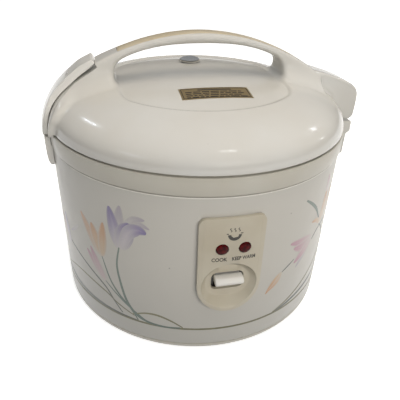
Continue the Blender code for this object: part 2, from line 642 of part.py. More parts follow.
def make_switch(mats):
    """Cook switch: a wide nose in the panel's dish, on an arm that rocks behind the panel."""
    py, pz = switch_pivot()
    nose_y = -RING_R - SWITCH_OUT
    nose_low = pz - SWITCH_UNDER
    arm = 20 * MM
    boss = 3.6 * MM
    back = nose_y + 9 * MM
    switch = prism("cook_switch", [
        (nose_y, nose_low + 1.0 * MM), (nose_y + 1 * MM, nose_low), (back, nose_low),
        (back, nose_low + SWITCH_H),
        (nose_y + 3 * MM, nose_low + SWITCH_H), (nose_y, nose_low + SWITCH_H - 2.4 * MM)],
        -SWITCH_W / 2, SWITCH_W / 2, mats["ivory"], axis="X", bevel=0.8 * MM, steps=1)
    join(switch, block("arm", (-arm / 2, back - MM, pz - 2 * MM), (arm / 2, py, pz + 2 * MM), None),
         rod("boss", boss, (-arm / 2, py, pz), (arm / 2, py, pz)))
    cut(switch, rod("bore", PIN_R + GAP, (-arm, py, pz), (arm, py, pz)))
    on_axis(switch, (0, py, pz))
    ear = arm / 2 + GAP
    room = boss + 1.0 * MM
    front = -RING_R + PANEL_BACK + GAP
    bracket = block("switch_bracket", (-ear - 2 * MM, front, pz - 14 * MM),
                    (ear + 2 * MM, py + 2.8 * MM, pz + 7 * MM),
                    mats["zinc"])
    cut(bracket, block("switch_room", (-ear, front - 5 * MM, pz - 12.5 * MM),
                       (ear, py + 8 * MM, pz + 9 * MM), None),
        rod("bore", PIN_R + GAP, (-arm * 2, py, pz), (arm * 2, py, pz)),
        rod("link_hole", LINK_R + GAP, (0, py - LINK_ARM, pz - 16 * MM), (0, py - LINK_ARM, pz - 10 * MM)))
    rod("switch_pin", PIN_R, (-ear - 3 * MM, py, pz), (ear + 3 * MM, py, pz), mats["steel"], 12)
    link = rod("push_link", LINK_R, (0, py - LINK_ARM, TRIP_Z + TRIP_T + GAP),
               (0, py - LINK_ARM, pz - 3.0 * MM),
               mats["steel"], 12)
    on_axis(link, (0, py - LINK_ARM, pz - room))


# ---------------------------------------------------------------- panel and electrics

def panel_outline(inset=0.0):
    """Round-bottomed tablet shape of the panel as (x, z) points."""
    half = PANEL_W / 2 - inset
    top = PANEL_TOP_Z - inset
    corner = max(PANEL_CORNER_R - inset, 1.0 * MM)
    points = arc((0.0, PANEL_ROUND_Z), half, 180, 360, 16)
    points += arc((half - corner, top - corner), corner, 0, 90, 3)
    return points + arc((-half + corner, top - corner), corner, 90, 180, 3)


def make_panel(mats):
    """Curved front plate with a thicker core through the shell, a dish, a slot and two lamp holes."""
    face = RING_R + PANEL_PROUD
    low, high = PANEL_ROUND_Z - PANEL_W / 2 - PANEL_LIP, RIM_Z
    panel = prism("control_panel", panel_outline(), -face - 4 * MM, -RING_R * 0.8, mats["cream"])
    core = prism("core", panel_outline(PANEL_LIP), -RING_R - MM, -RING_R + PANEL_BACK, None)
    combine(panel, turned("skin", [(shell_r(high) + GAP, low), (face, low), (face, high),
                                   (shell_r(high) + GAP, high)],
                          None, 80), "INTERSECT")
    join(panel, core)
    floor_y = -face + DISH_DEPTH
    dish = turned("dish", [(0, 0), (DISH_FLOOR_R, 0), (DISH_R, DISH_DEPTH), (DISH_R, DISH_DEPTH + 4 * MM),
                           (0, DISH_DEPTH + 4 * MM)], None, 32, closed=False)
    turn_axis(dish, (0, -1, 0), (0, floor_y, PANEL_ROUND_Z))
    slot = block("slot", (-SLOT_W / 2, -face - MM, SLOT_Z - SLOT_H / 2),
                 (SLOT_W / 2, -RING_R / 2, SLOT_Z + SLOT_H / 2), None)
    cut(panel, dish, slot)
    for lamp_x in LAMP_X:
        cut(panel, rod("lamp_hole", LAMP_R + GAP, (lamp_x, -face - 5 * MM, LAMP_Z),
                       (lamp_x, -RING_R / 2, LAMP_Z)))
    return panel


def make_lamps(mats):
    """Two red lenses, each a cup over the lamp board."""
    face = RING_R + PANEL_PROUD
    back = RING_R - PANEL_BACK - 0.5 * MM
    length = face - back
    for name, lamp_x in zip(("cook", "warm"), LAMP_X):
        lens = turned(name + "_lamp_lens", [
            (0, length + 1.0 * MM), (LAMP_R * 0.6, length + 0.7 * MM), (LAMP_R, length - 0.6 * MM), (LAMP_R,
                0),
            (LAMP_R - 1.2 * MM, 0), (LAMP_R - 1.2 * MM, length - 2 * MM), (0, length - 1.5 * MM)],
            mats["lens"], SMALL, closed=False)
        turn_axis(lens, (0, -1, 0), (lamp_x, -back, LAMP_Z))
    block("lamp_board", (-18 * MM, -back + 2 * GAP, LAMP_Z - 9 * MM),
          (18 * MM, -back + 2 * GAP + 1.6 * MM, LAMP_Z + 9 * MM),
          mats["board"])


def make_inlet(mats):
    """Power inlet at the back with a socket and two pins."""
    out = RING_R + 1.5 * MM
    back = out - INLET_DEPTH
    half_w, half_h = INLET_W / 2, INLET_H / 2
    inlet = block("power_inlet", (-half_w, RING_R * 0.8, INLET_Z - half_h), (half_w, out, INLET_Z + half_h),
                  mats["black"])
    cut(inlet, body_cutter("inlet_fit"))
    join(inlet, block("core", (-half_w + INLET_LIP, back, INLET_Z - half_h + INLET_LIP),
                      (half_w - INLET_LIP, RING_R + 0.5 * MM, INLET_Z + half_h - INLET_LIP), None))
    cut(inlet, block("socket", (-half_w + 6 * MM, back + 4 * MM, INLET_Z - half_h + 7 * MM),
                     (half_w - 6 * MM, out + MM, INLET_Z + half_h - 7 * MM), None))
    for index, side in enumerate((-1, 1)):
        x = side * INLET_PIN_X
        cut(inlet, rod("pin_hole", 2.0 * MM + GAP, (x, back - MM, INLET_Z), (x, back + 6 * MM, INLET_Z)))
        rod("inlet_pin_%d" % (index + 1), 2.0 * MM, (x, back - 2 * MM, INLET_Z), (x, out - 4 * MM, INLET_Z),
            mats["brass"], 12)


def make_electrics(mats):
    """Snap switch on the pan."""
    low = PLASTIC + 0.5 * MM + GAP
    block("micro_switch", (TRIP_W / 2 + 8 * MM, TRIP_PIVOT_Y, low),
          (TRIP_W / 2 + 28 * MM, TRIP_PIVOT_Y + 8 * MM, low + 10 * MM),
          mats["black"], 0.5 * MM)


# ---------------------------------------------------------------- lid

def make_lid_cover(mats):
    """Domed lid shell, open below, with a hole for the vent."""
    outer = dome_profile(0.0, GAP)
    inner = dome_profile(LID_WALL, GAP)
    cover = turned("lid_cover", outer + inner[::-1], mats["ivory"], closed=False)
    cut(cover, rod("vent_hole", VENT_STEM_R + 3.2 * MM, (0, VENT_Y, RIM_Z + 5 * MM),
                   (0, VENT_Y, RIM_Z + DOME_H + 5 * MM)))
    return cover


def make_lid_inside(mats):
    """Liner, inner lid, seal, knob and steam tube."""
    z = RIM_Z
    flange = DOME_R - LID_WALL - 2.0 * MM
    seal_in = POT_FLANGE_R - 6.0 * MM
    hole = KNOB_STEM_R + GAP
    liner = turned("lid_liner", [
        (flange, z + 1.0 * MM), (flange, z + 3.0 * MM), (seal_in + 5.5 * MM,
            z + 3.0 * MM), (seal_in + 1.5 * MM, z + LINER_DROP + 2.5 * MM),
        (hole, z + LINER_DROP + 4.0 * MM), (hole, z + LINER_DROP + 1.5 * MM), (seal_in - 0.2 * MM,
            z + LINER_DROP),
        (seal_in + 3.2 * MM, z + 1.0 * MM)], mats["beige"], 40)
    tube_r = VENT_STEM_R + 2.6 * MM
    cut(liner, rod("tube_hole", tube_r + GAP, (0, VENT_Y, z), (0, VENT_Y, z + 20 * MM)))
    tube_low = z + LINER_DROP - 1.0 * MM
    tube_top = z + dome_z(VENT_Y + tube_r) - 1.0 * MM
    turned("steam_tube", [(tube_r - 1.6 * MM, tube_low), (tube_r, tube_low), (tube_r, tube_top),
                          (tube_r - 1.6 * MM, tube_top)],
           mats["beige"], SMALL, (0, VENT_Y))
    inner = turned("inner_lid", [
        (hole, z + 5.2 * MM), (seal_in - 5.0 * MM, z + 4.2 * MM), (seal_in - 0.4 * MM,
            z + 0.4 * MM), (seal_in - 0.4 * MM, z - 0.8 * MM),
        (seal_in - 1.4 * MM, z - 0.8 * MM), (seal_in - 5.6 * MM, z + 3.2 * MM), (hole,
            z + 4.2 * MM)], mats["alu"], 40)
    for index in range(6):
        x, y = polar(55 * MM, 30 + 60 * index)
        cut(inner, rod("steam_hole", 2.5 * MM, (x, y, z), (x, y, z + 10 * MM), sides=10))
    turned("lid_gasket", [
        (seal_in, z - 1.2 * MM), (seal_in + GASKET_W, z - 0.6 * MM), (seal_in + GASKET_W,
            z + 0.7 * MM), (seal_in, z + 0.7 * MM)],
        mats["gasket"], 40)
    turned("inner_lid_knob", [
        (0, z - 2.5 * MM), (7 * MM, z - 2.5 * MM), (8 * MM, z - 1 * MM), (8 * MM,
            z + 3.8 * MM), (KNOB_STEM_R, z + 3.8 * MM),
        (KNOB_STEM_R, z + LINER_DROP + 5 * MM), (0,
                                                 z + LINER_DROP + 5 * MM)], mats["gasket"], SMALL,
                                                 closed=False)


def make_vent_cap(mats):
    """Pressed metal disc on a stem that pulls up out of the steam tube."""
    seat = RIM_Z + dome_z(VENT_Y - VENT_R) + GAP
    stem_low = RIM_Z + LINER_DROP + 6 * MM
    cap = turned("steam_vent_cap", [
        (0, seat + 1.6 * MM), (VENT_R - 2.2 * MM, seat + 1.6 * MM), (VENT_R, seat + 0.8 * MM), (VENT_R,
            seat), (VENT_STEM_R, seat),
        (VENT_STEM_R, stem_low), (0, stem_low)], mats["alu"], 24, (0, VENT_Y), closed=False)
    return on_axis(cap, (0, VENT_Y, seat))


def make_label(mats):
    """Thin foil plate on the crown in front of the handle."""
    width, depth, thick = LABEL_SIZE
    front, back = LABEL_Y - depth / 2, LABEL_Y + depth / 2
    slope = math.atan2(dome_z(abs(back)) - dome_z(abs(front)), depth)
    plate = block("label_plate", (-width / 2, -depth / 2, 0), (width / 2, depth / 2, thick), mats["foil"])
    lift = RIM_Z + dome_z(LABEL_Y) + 0.7 * MM
    plate.data.transform(Matrix.Translation((LABEL_X, LABEL_Y, lift)) @ Matrix.Rotation(slope, 4, "X"))
    return plate


# ---------------------------------------------------------------- handle, hinge block and lever

def widen_legs(obj, full, narrow):
    """Spread the handle sideways towards its feet."""
    for vert in obj.data.vertices:
        share = min(max((abs(vert.co.x) - LEG_X + 12 * MM) / (35 * MM), 0.0), 1.0)
        share = share * share * (3 - 2 * share)
        vert.co.y *= 1.0 + (full / narrow - 1.0) * share


def lever_axis():
    return -RING_R + 21.5 * MM, RIM_Z + 35.5 * MM


def make_handle(mats):
    """Arched handle with two legs on the crown, a groove on top and the lever's tongue."""
    end = RING_R - 19.0 * MM
    steps = 14
    left = -LEG_X - 10.5 * MM
    rise = (RING_R - 125.0 * MM)
    xs = [left + (end - left) * i / steps for i in range(steps + 1)]
    top = [(x, RIM_Z + handle_top(x)) for x in xs]
    leg_out = [(-82.5 * MM, 43 * MM), (-90 * MM, 38.5 * MM), (-97 * MM, 33.5 * MM), (-104 * MM, 28.5 * MM),
               (-111.5 * MM, 22.5 * MM), (-116.5 * MM, 17 * MM), (-119.5 * MM, 10 * MM),
               (-116 * MM, 4 * MM)]
    leg_out = [(x - rise, RIM_Z + z) for x, z in leg_out]
    inner_x = LEG_X - 6 * MM
    under = [(inner_x * math.sin(math.radians(a)), 0) for a in range(-90, 91, 15)]
    under = [(x, RIM_Z + handle_under(x)) for x, _ in under]
    left_leg = [(-LEG_X, RIM_Z + 4 * MM), (-LEG_X, RIM_Z + handle_under(inner_x) - 8 * MM),
                (-LEG_X + 1.5 * MM, RIM_Z + handle_under(inner_x) - 4 * MM)]
    right_leg = [(-x, z) for x, z in left_leg[::-1]]
    outline = leg_out[::-1] + top + [(end, RIM_Z + 4 * MM)] + right_leg[::-1] + under[::-1] + left_leg[::-1]
    handle = prism("handle", outline, -HANDLE_W / 2, HANDLE_W / 2, mats["ivory"], bevel=2.5 * MM, steps=2)
    widen_legs(handle, LEG_W, HANDLE_W)
    px, pz = lever_axis()
    tongue = prism("tongue", [(px - 1.5 * MM, pz - 9 * MM), (px + LEVER_TONGUE_R, pz - 9 * MM)]
                   + arc((px, pz), LEVER_TONGUE_R, 0, 180, 8) + [(px - LEVER_TONGUE_R, pz - 5 * MM)],
                   -TONGUE_W / 2, TONGUE_W / 2, None)
    join(handle, tongue)
    cut(handle, dome_cutter("foot_fit"), rod("bore", PIN_R + GAP, (px, -HANDLE_W, pz), (px, HANDLE_W, pz)),
        cover_strip("groove", GAP, None))
    cover_strip("handle_cover", 0.0, mats["beige"])
    return handle


def cover_strip(name, grow, mat):
    """Inlaid strip along the top of the arch; grown, it is the groove that takes it."""
    start, end = -LEG_X + 4 * MM - grow, LEG_X + 20 * MM + grow
    steps = 10
    xs = [start + (end - start) * i / steps for i in range(steps + 1)]
    raised = 0.0 if grow == 0.0 else 3 * MM
    upper = [(x, RIM_Z + handle_top(x) + raised + 0.1 * MM) for x in xs]
    lower = [(x, RIM_Z + handle_top(x) - COVER_T - grow) for x in xs]
    return prism(name, lower + upper[::-1], -COVER_W / 2 - grow, COVER_W / 2 + grow, mat)


def make_hinge_block(mats):
    """Lid half of the hinge: a sloping block that ends in a barrel round the hinge axis."""
    cx, cz = hinge_axis()
    start = RING_R - 19.0 * MM + GAP
    top = RIM_Z + handle_top(start)
    outline = [(start, RIM_Z + 1.0 * MM), (start, top), (cx - 11 * MM, cz + 28.2 * MM),
               (cx - 4 * MM, cz + 25.2 * MM),
               (cx + 2.9 * MM, cz + 20.9 * MM), (cx + 8.2 * MM, cz + 14.5 * MM)]
    outline += arc((cx, cz), BARREL_R, 15, -172, 16)
    hinge = prism("hinge_block", outline, -HINGE_W / 2, HINGE_W / 2, mats["ivory"], bevel=2.0 * MM, steps=1)
    slot_low, slot_high = HINGE_SLOT
    room = BARREL_R - 3.2 * MM + 0.8 * MM
    swept = [(cx, cz)] + arc((cx, cz), BARREL_R + 6 * MM, 34, -142, 12)
    slot = prism("slot", arc((cx, cz), room, 0, 345, 23), slot_low, slot_high, None)
    join(slot, prism("sweep", swept, slot_low, slot_high, None))
    return cut(hinge, slot, dome_cutter("crown_fit"), ring_sweep_cutter(),
               rod("bore", HINGE_PIN_R + GAP, (cx, -HINGE_W / 2 + PIN_COVER, cz), (cx, HINGE_W, cz)))


def ring_sweep_cutter():
    """Room beside the ring's wall, below the rim plane."""
    return turned("ring_fit", [(0, RIM_Z - RING_H), (RING_R + GAP, RIM_Z - RING_H),
                               (RING_R + GAP, RIM_Z + GAP),
                               (0, RIM_Z + GAP)], None, FINE, closed=False)


def make_lever(mats):
    """Release lever over the left leg: thumb pad above, hook below, rocking on a pin."""
    px, pz = lever_axis()
    shift = RING_R - 125.0 * MM
    outer = [(-84, 47.9), (-87.5, 51.5), (-96, 46.5), (-103, 41.5), (-110, 35.5), (-116, 30), (-120.5, 25),
             (-124, 19),
             (-127, 11.5), (-129.5, 3), (-130.3, -5.7)]
    inner = [(-125.6, -5.7), (-125.5, 1.5), (-124.8, 6), (-123.2, 11.5), (-119.5, 17.5), (-113.5, 24.2),
             (-104.5, 31.5),
             (-97, 37.5), (-88, 45)]
    outline = [(x * MM - shift, RIM_Z + z * MM) for x, z in outer + inner]
    half = LEVER_W / 2
    wide = half + LEVER_SPREAD
    lever = prism("release_lever", outline, -wide, wide, mats["ivory"], bevel=1.6 * MM, steps=1)
    crown, foot, above = pz - 8 * MM, RIM_Z - 6 * MM, pz + 20 * MM
    front = [(-wide, foot), (wide, foot), (wide, foot + 3 * MM), (half, crown), (half, above),
             (-half, above),
             (-half, crown), (-wide, foot + 3 * MM)]
    combine(lever, prism("spread", front, -RING_R - 10 * MM, px + 30 * MM, None, axis="X"), "INTERSECT")
    room = LEVER_TONGUE_R + 0.4 * MM
    pocket = prism("pocket", [(px - 6 * MM, pz - 12 * MM), (px + room + 2 * MM, pz - 12 * MM)]
                   + arc((px, pz), room, 0, 180, 8) + [(px - 6 * MM, pz - 4 * MM)],
                   -TONGUE_W / 2 - GAP, TONGUE_W / 2 + GAP, None)
    hook = block("hook", (-RING_R - 1.6 * MM, -5 * MM, RIM_Z - 5.4 * MM),
                 (-RING_R + 3.8 * MM, 5 * MM, RIM_Z - 2.8 * MM), None)
    join(lever, hook)
    cut(lever, pocket, rod("bore", PIN_R + GAP, (px, -half + PIN_COVER, pz), (px, LEVER_W, pz)))
    on_axis(lever, (px, 0, pz))
    rod("lever_pin", PIN_R, (px, -half + PIN_COVER + GAP, pz), (px, half - PIN_COVER, pz), mats["steel"],
        12)
    coil("lever_spring", 2.0 * MM, 0.35 * MM, 2, (px + 13.3 * MM, 0, pz + 3.3 * MM), (-0.58, 0, 0.81),
         2.7 * MM,
         mats["steel"])


# ---------------------------------------------------------------- build

def build():
    clear_scene()
    mats = make_materials()
    make_shell(mats)
    make_base(mats)
    make_ring(mats)
    make_keeper(mats)
    make_hinge_base(mats)
    make_case(mats)
    make_heater(mats)
    make_pot(mats)
    make_thermostat(mats)
    make_trip_lever(mats)
    make_switch(mats)
    make_panel(mats)
    make_lamps(mats)
    make_inlet(mats)
    make_electrics(mats)
    make_lid_cover(mats)
    make_lid_inside(mats)
    make_vent_cap(mats)
    make_label(mats)
    make_handle(mats)
    make_hinge_block(mats)
    make_lever(mats)


build()
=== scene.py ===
"""Finished look of the electric rice cooker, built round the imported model."""
import logging
import math
import random
from dataclasses import dataclass, field
from enum import Enum
from typing import Callable, Iterator, Optional, Sequence

import bpy
from mathutils import Matrix, Vector


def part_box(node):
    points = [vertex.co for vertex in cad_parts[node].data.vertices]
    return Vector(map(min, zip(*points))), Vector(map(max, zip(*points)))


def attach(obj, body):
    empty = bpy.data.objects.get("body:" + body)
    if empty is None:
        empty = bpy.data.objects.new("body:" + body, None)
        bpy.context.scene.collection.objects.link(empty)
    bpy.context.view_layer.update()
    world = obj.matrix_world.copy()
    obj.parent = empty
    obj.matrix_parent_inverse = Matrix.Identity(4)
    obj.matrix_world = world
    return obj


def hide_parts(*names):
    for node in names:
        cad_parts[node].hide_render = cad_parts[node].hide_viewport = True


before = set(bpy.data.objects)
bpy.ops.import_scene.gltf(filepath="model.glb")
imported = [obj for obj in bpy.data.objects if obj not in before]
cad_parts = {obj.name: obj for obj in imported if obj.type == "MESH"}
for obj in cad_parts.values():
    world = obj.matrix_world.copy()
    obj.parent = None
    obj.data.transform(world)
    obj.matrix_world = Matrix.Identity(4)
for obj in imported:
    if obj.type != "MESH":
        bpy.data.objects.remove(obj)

LOG = logging.getLogger("rice_cooker")
MM = 0.001
Point2 = tuple[float, float]
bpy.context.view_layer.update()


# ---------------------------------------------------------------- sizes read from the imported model

RING_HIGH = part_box("upper_ring")[1]
LID_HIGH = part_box("lid_cover")[1]
SHELL_LOW, SHELL_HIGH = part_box("outer_shell")
PAN_LOW, PAN_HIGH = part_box("base_pan")
PANEL_LOW, PANEL_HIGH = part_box("control_panel")
BLOCK_LOW, BLOCK_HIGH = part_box("hinge_block")
PIN_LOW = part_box("hinge_pin")[0]
LEVER_PIN_LOW, LEVER_PIN_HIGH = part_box("lever_pin")
HANDLE_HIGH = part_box("handle")[1]
STRIP_LOW, STRIP_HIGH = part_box("handle_cover")
FOOT_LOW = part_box("foot_1")[0]
LAMPS = ("cook_lamp_lens", "warm_lamp_lens")
RIM = RING_HIGH.z + 0.3 * MM
RING_R = RING_HIGH.x
SEAM_Z = SHELL_HIGH.z + 0.3 * MM


# ---------------------------------------------------------------- modelling tools

class Axis(Enum):
    """Direction that an outline is extruded along."""

    X = 0
    Y = 1
    Z = 2


def deselect() -> None:
    """Leave edit mode and clear the selection, because operators act on all that is selected."""
    if bpy.context.object and bpy.context.object.mode != "OBJECT":
        bpy.ops.object.mode_set(mode="OBJECT")
    bpy.ops.object.select_all(action="DESELECT")


def activate(obj: bpy.types.Object) -> None:
    """Make one object the only selected and active one.

    Args:
        obj: The object to work on.
    """
    deselect()
    obj.select_set(True)
    bpy.context.view_layer.objects.active = obj


def edit(obj: bpy.types.Object, work: Callable[[], None]) -> bpy.types.Object:
    """Run operators on all of an object's mesh in edit mode.

    Args:
        obj: The object to edit.
        work: A function that calls edit-mode operators.

    Returns:
        The same object.
    """
    activate(obj)
    bpy.ops.object.mode_set(mode="EDIT")
    bpy.ops.mesh.select_all(action="SELECT")
    work()
    bpy.ops.object.mode_set(mode="OBJECT")
    return obj


def outline(name: str, points: Sequence[tuple[float, float, float]], fill: bool) -> bpy.types.Object:
    """Add a circle primitive and shape it to an outline.

    Args:
        name: Name of the new object.
        points: Corner positions in metres, in order.
        fill: Whether the outline is a face or only its edges.

    Returns:
        The new object.
    """
    deselect()
    bpy.ops.mesh.primitive_circle_add(vertices=len(points), radius=1.0, fill_type="NGON" if fill else "NOTHING")
    obj = bpy.context.object
    obj.name = name
    obj.data.name = name
    for vertex, place in zip(obj.data.vertices, points):
        vertex.co = place
    return obj


def lathe(name: str, profile: Sequence[Point2], steps: int = 144, ring: bool = True,
          centre: Point2 = (0.0, 0.0)) -> bpy.types.Object:
    """Spin a (radius, height) profile round a vertical axis into a closed solid.

    Args:
        name: Name of the new object.
        profile: Profile points in metres.
        steps: Number of spin steps.
        ring: True where the profile is a closed loop off the axis, False where it starts and ends on it.
        centre: X and Y of the axis.

    Returns:
        The new object.
    """
    obj = outline(name, [(r, 0.0, z) for r, z in profile], fill=False)

    def spin() -> None:
        """Drop the edge on the axis, spin, weld and turn the faces outwards."""
        if not ring:
            bpy.ops.mesh.select_all(action="DESELECT")
            bpy.ops.mesh.select_mode(type="EDGE")
            bpy.ops.object.mode_set(mode="OBJECT")
            last = len(profile) - 1
            for edge in obj.data.edges:
                edge.select = set(edge.vertices) == {0, last}
            bpy.ops.object.mode_set(mode="EDIT")
            bpy.ops.mesh.delete(type="EDGE")
        bpy.ops.mesh.select_mode(type="VERT")
        bpy.ops.mesh.select_all(action="SELECT")
        bpy.ops.mesh.spin(steps=steps, angle=math.tau, center=(0, 0, 0), axis=(0, 0, 1))
        bpy.ops.mesh.select_all(action="SELECT")
        bpy.ops.mesh.remove_doubles(threshold=1e-6)
        bpy.ops.mesh.normals_make_consistent(inside=False)

    edit(obj, spin)
    obj.data.transform(Matrix.Translation((centre[0], centre[1], 0.0)))
    return obj


def slab(name: str, points: Sequence[Point2], low: float, high: float, axis: Axis = Axis.Y,
         bevel: float = 0.0, segments: int = 4) -> bpy.types.Object:
    """Fill an outline, extrude it along an axis and round its rims.

    Args:
        name: Name of the new object.
        points: Outline in the two other axes, in X, Y, Z order.
        low: Start along the axis.
        high: End along the axis.
        axis: Direction of the extrusion.
        bevel: Rounding of the rims in metres.
        segments: Segments of the rounding.

    Returns:
        The new object.
    """
    places = [{Axis.X: (low, a, b), Axis.Y: (a, low, b), Axis.Z: (a, b, low)}[axis] for a, b in points]
    step = [0.0, 0.0, 0.0]
    step[axis.value] = high - low
    obj = outline(name, places, fill=True)

    def pull() -> None:
        """Extrude the face and turn the shell outwards."""
        bpy.ops.mesh.extrude_region_move(TRANSFORM_OT_translate={"value": step})
        bpy.ops.mesh.select_all(action="SELECT")
        bpy.ops.mesh.normals_make_consistent(inside=False)

    edit(obj, pull)
    if bevel > 0:
        modify(obj, "BEVEL", width=bevel, segments=segments, limit_method="ANGLE", angle_limit=math.radians(40))
    return obj


def box(name: str, low: Sequence[float], high: Sequence[float]) -> bpy.types.Object:
    """A block between two corners.

    Args:
        name: Name of the new object.
        low: Lowest corner.
        high: Highest corner.

    Returns:
        The new object.
    """
    deselect()
    size = Vector(high) - Vector(low)
    bpy.ops.mesh.primitive_cube_add(size=1.0)
    obj = bpy.context.object
    obj.name = name
    obj.data.transform(Matrix.Translation((Vector(high) + Vector(low)) / 2) @ Matrix.Diagonal((*size, 1.0)))
    return obj


def bar(name: str, radius: float, start: Sequence[float], end: Sequence[float],
        sides: int = 48) -> bpy.types.Object:
    """A round bar between two points.

    Args:
        name: Name of the new object.
        radius: Radius in metres.
        start: Centre of one end.
        end: Centre of the other end.
        sides: Number of sides.

    Returns:
        The new object.
    """
    deselect()
    a, b = Vector(start), Vector(end)
    bpy.ops.mesh.primitive_cylinder_add(vertices=sides, radius=radius, depth=(b - a).length)
    obj = bpy.context.object
    obj.name = name
    turn = Vector((0, 0, 1)).rotation_difference((b - a).normalized()).to_matrix().to_4x4()
    obj.data.transform(Matrix.Translation((a + b) / 2) @ turn)
    return obj


def modify(obj: bpy.types.Object, kind: str, **settings: object) -> bpy.types.Object:
    """Add a modifier, set it and apply it.

    Args:
        obj: The object to change.
        kind: Modifier type.
        settings: Values of the modifier's own settings.

    Returns:
        The same object.
    """
    activate(obj)
    modifier = obj.modifiers.new(kind.lower(), kind)
    for key, value in settings.items():
        setattr(modifier, key, value)
    bpy.ops.object.modifier_apply(modifier=modifier.name)
    return obj


def combine(obj: bpy.types.Object, operation: str, *tools: bpy.types.Object) -> bpy.types.Object:
    """Apply Boolean steps and remove the tools.

    Args:
        obj: The object to change.
        operation: UNION, DIFFERENCE or INTERSECT.
        tools: The other solids, in order.

    Returns:
        The same object.
    """
    for tool in tools:
        modify(obj, "BOOLEAN", operation=operation, solver="EXACT", object=tool)
        bpy.data.objects.remove(tool, do_unlink=True)
    return obj


def smooth(obj: bpy.types.Object, degrees: float = 32.0) -> bpy.types.Object:
    """Shade smooth with sharp edges where faces turn by more than an angle.

    Args:
        obj: The object to shade.
        degrees: The angle.

    Returns:
        The same object.
    """
    activate(obj)
    bpy.ops.object.shade_smooth_by_angle(angle=math.radians(degrees))
    return obj


def middle(node: str) -> Vector:
    """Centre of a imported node's box."""
    low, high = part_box(node)
    return (low + high) / 2


def around(count: int, radius: float, start: float) -> Iterator[Point2]:
    """Places evenly spaced on a circle.

    Args:
        count: Number of places.
        radius: Radius of the circle.
        start: Angle of the first place in degrees.

    Yields:
        X and Y of each place.
    """
    for index in range(count):
        turn = math.radians(start + 360 / count * index)
        yield radius * math.cos(turn), radius * math.sin(turn)


def offsets(x: float, z: float, *steps: Point2) -> list[Point2]:
    """Points given in millimetres from a corner.

    Args:
        x: First coordinate of the corner in metres.
        z: Second coordinate of the corner in metres.
        steps: Offsets in millimetres.

    Returns:
        The points in metres.
    """
    return [(x + dx * MM, z + dz * MM) for dx, dz in steps]


def spaced(start: float, end: float, count: int) -> list[float]:
    """Evenly spaced values, both ends included."""
    return [start + (end - start) * i / count for i in range(count + 1)]


def arc(centre: Point2, radius: float, start: float, end: float, count: int) -> list[Point2]:
    """Points of an arc, with its angles in degrees.

    Args:
        centre: Centre of the arc.
        radius: Radius.
        start: First angle.
        end: Last angle.
        count: Number of steps.

    Returns:
        The points, both ends included.
    """
    turns = [math.radians(turn) for turn in spaced(start, end, count)]
    return [(centre[0] + radius * math.cos(a), centre[1] + radius * math.sin(a)) for a in turns]


def rounded(x0: float, z0: float, x1: float, z1: float, radius: float) -> list[Point2]:
    """A rectangle with round corners.

    Args:
        x0: Left side.
        z0: Lower side.
        x1: Right side.
        z1: Upper side.
        radius: Corner radius.

    Returns:
        Its outline.
    """
    corners = (((x1 - radius, z0 + radius), -90), ((x1 - radius, z1 - radius), 0),
               ((x0 + radius, z1 - radius), 90), ((x0 + radius, z0 + radius), 180))
    return [point for centre, start in corners for point in arc(centre, radius, start, start + 90, 6)]


def step01(value: float) -> float:
    """Smooth step of a value held between 0 and 1."""
    held = min(max(value, 0.0), 1.0)
    return held * held * (3 - 2 * held)


def curve_through(points: Sequence[Point2], count: int) -> list[Point2]:
    """A smooth curve through a few chosen points.

    Args:
        points: Points that the curve passes.
        count: Number of steps between two neighbours.

    Returns:
        Points of the curve.
    """
    ends = [points[0], *points, points[-1]]
    found = []
    for a, b, c, d in zip(ends, ends[1:], ends[2:], ends[3:]):
        for i in range(count):
            t = i / count
            found.append(tuple(0.5 * (2 * q + (r - p) * t + (2 * p - 5 * q + 4 * r - s) * t * t
                                      + (3 * q - p - 3 * r + s) * t ** 3) for p, q, r, s in zip(a, b, c, d)))
    return found + [tuple(points[-1])]


# ---------------------------------------------------------------- materials

def linear(code: str) -> tuple[float, float, float, float]:
    """An sRGB hex colour as linear values with full alpha.

    Args:
        code: Six hex digits after a hash.

    Returns:
        Red, green, blue and alpha.
    """
    parts = [int(code[i:i + 2], 16) / 255 for i in (1, 3, 5)]
    return (*[c / 12.92 if c <= 0.04045 else ((c + 0.055) / 1.055) ** 2.4 for c in parts], 1.0)


def add_node(tree: bpy.types.NodeTree, kind: str, values: dict, links: Optional[dict] = None) -> bpy.types.Node:
    """Add a shader node, set it and link what feeds it.

    Args:
        tree: The node tree.
        kind: Node type.
        values: Node settings by attribute name, and socket values by socket name or index.
        links: Output sockets by the name or index of the input that they feed.

    Returns:
        The new node.
    """
    node = tree.nodes.new(kind)
    for key, value in values.items():
        if isinstance(key, str) and key in node.bl_rna.properties:
            setattr(node, key, value)
        else:
            node.inputs[key].default_value = value
    for key, socket in (links or {}).items():
        tree.links.new(socket, node.inputs[key])
    return node


def ramp(tree: bpy.types.NodeTree, feed: bpy.types.NodeSocket,
         stops: Sequence[tuple[float, str]]) -> bpy.types.NodeSocket:
    """A colour ramp between hex colours.

    Args:
        tree: The node tree.
        feed: The factor.
        stops: Position and colour of each stop.

    Returns:
        The colour output.
    """
    node = add_node(tree, "ShaderNodeValToRGB", {}, {"Fac": feed})
    while len(node.color_ramp.elements) < len(stops):
        node.color_ramp.elements.new(0.5)
    for element, (place, code) in zip(node.color_ramp.elements, stops):
        element.position = place
        element.color = linear(code)
    return node.outputs["Color"]


def per_mm(size: float) -> float:
    """Noise scale whose features are about this many millimetres across."""
    return 1.0 / (size * MM)


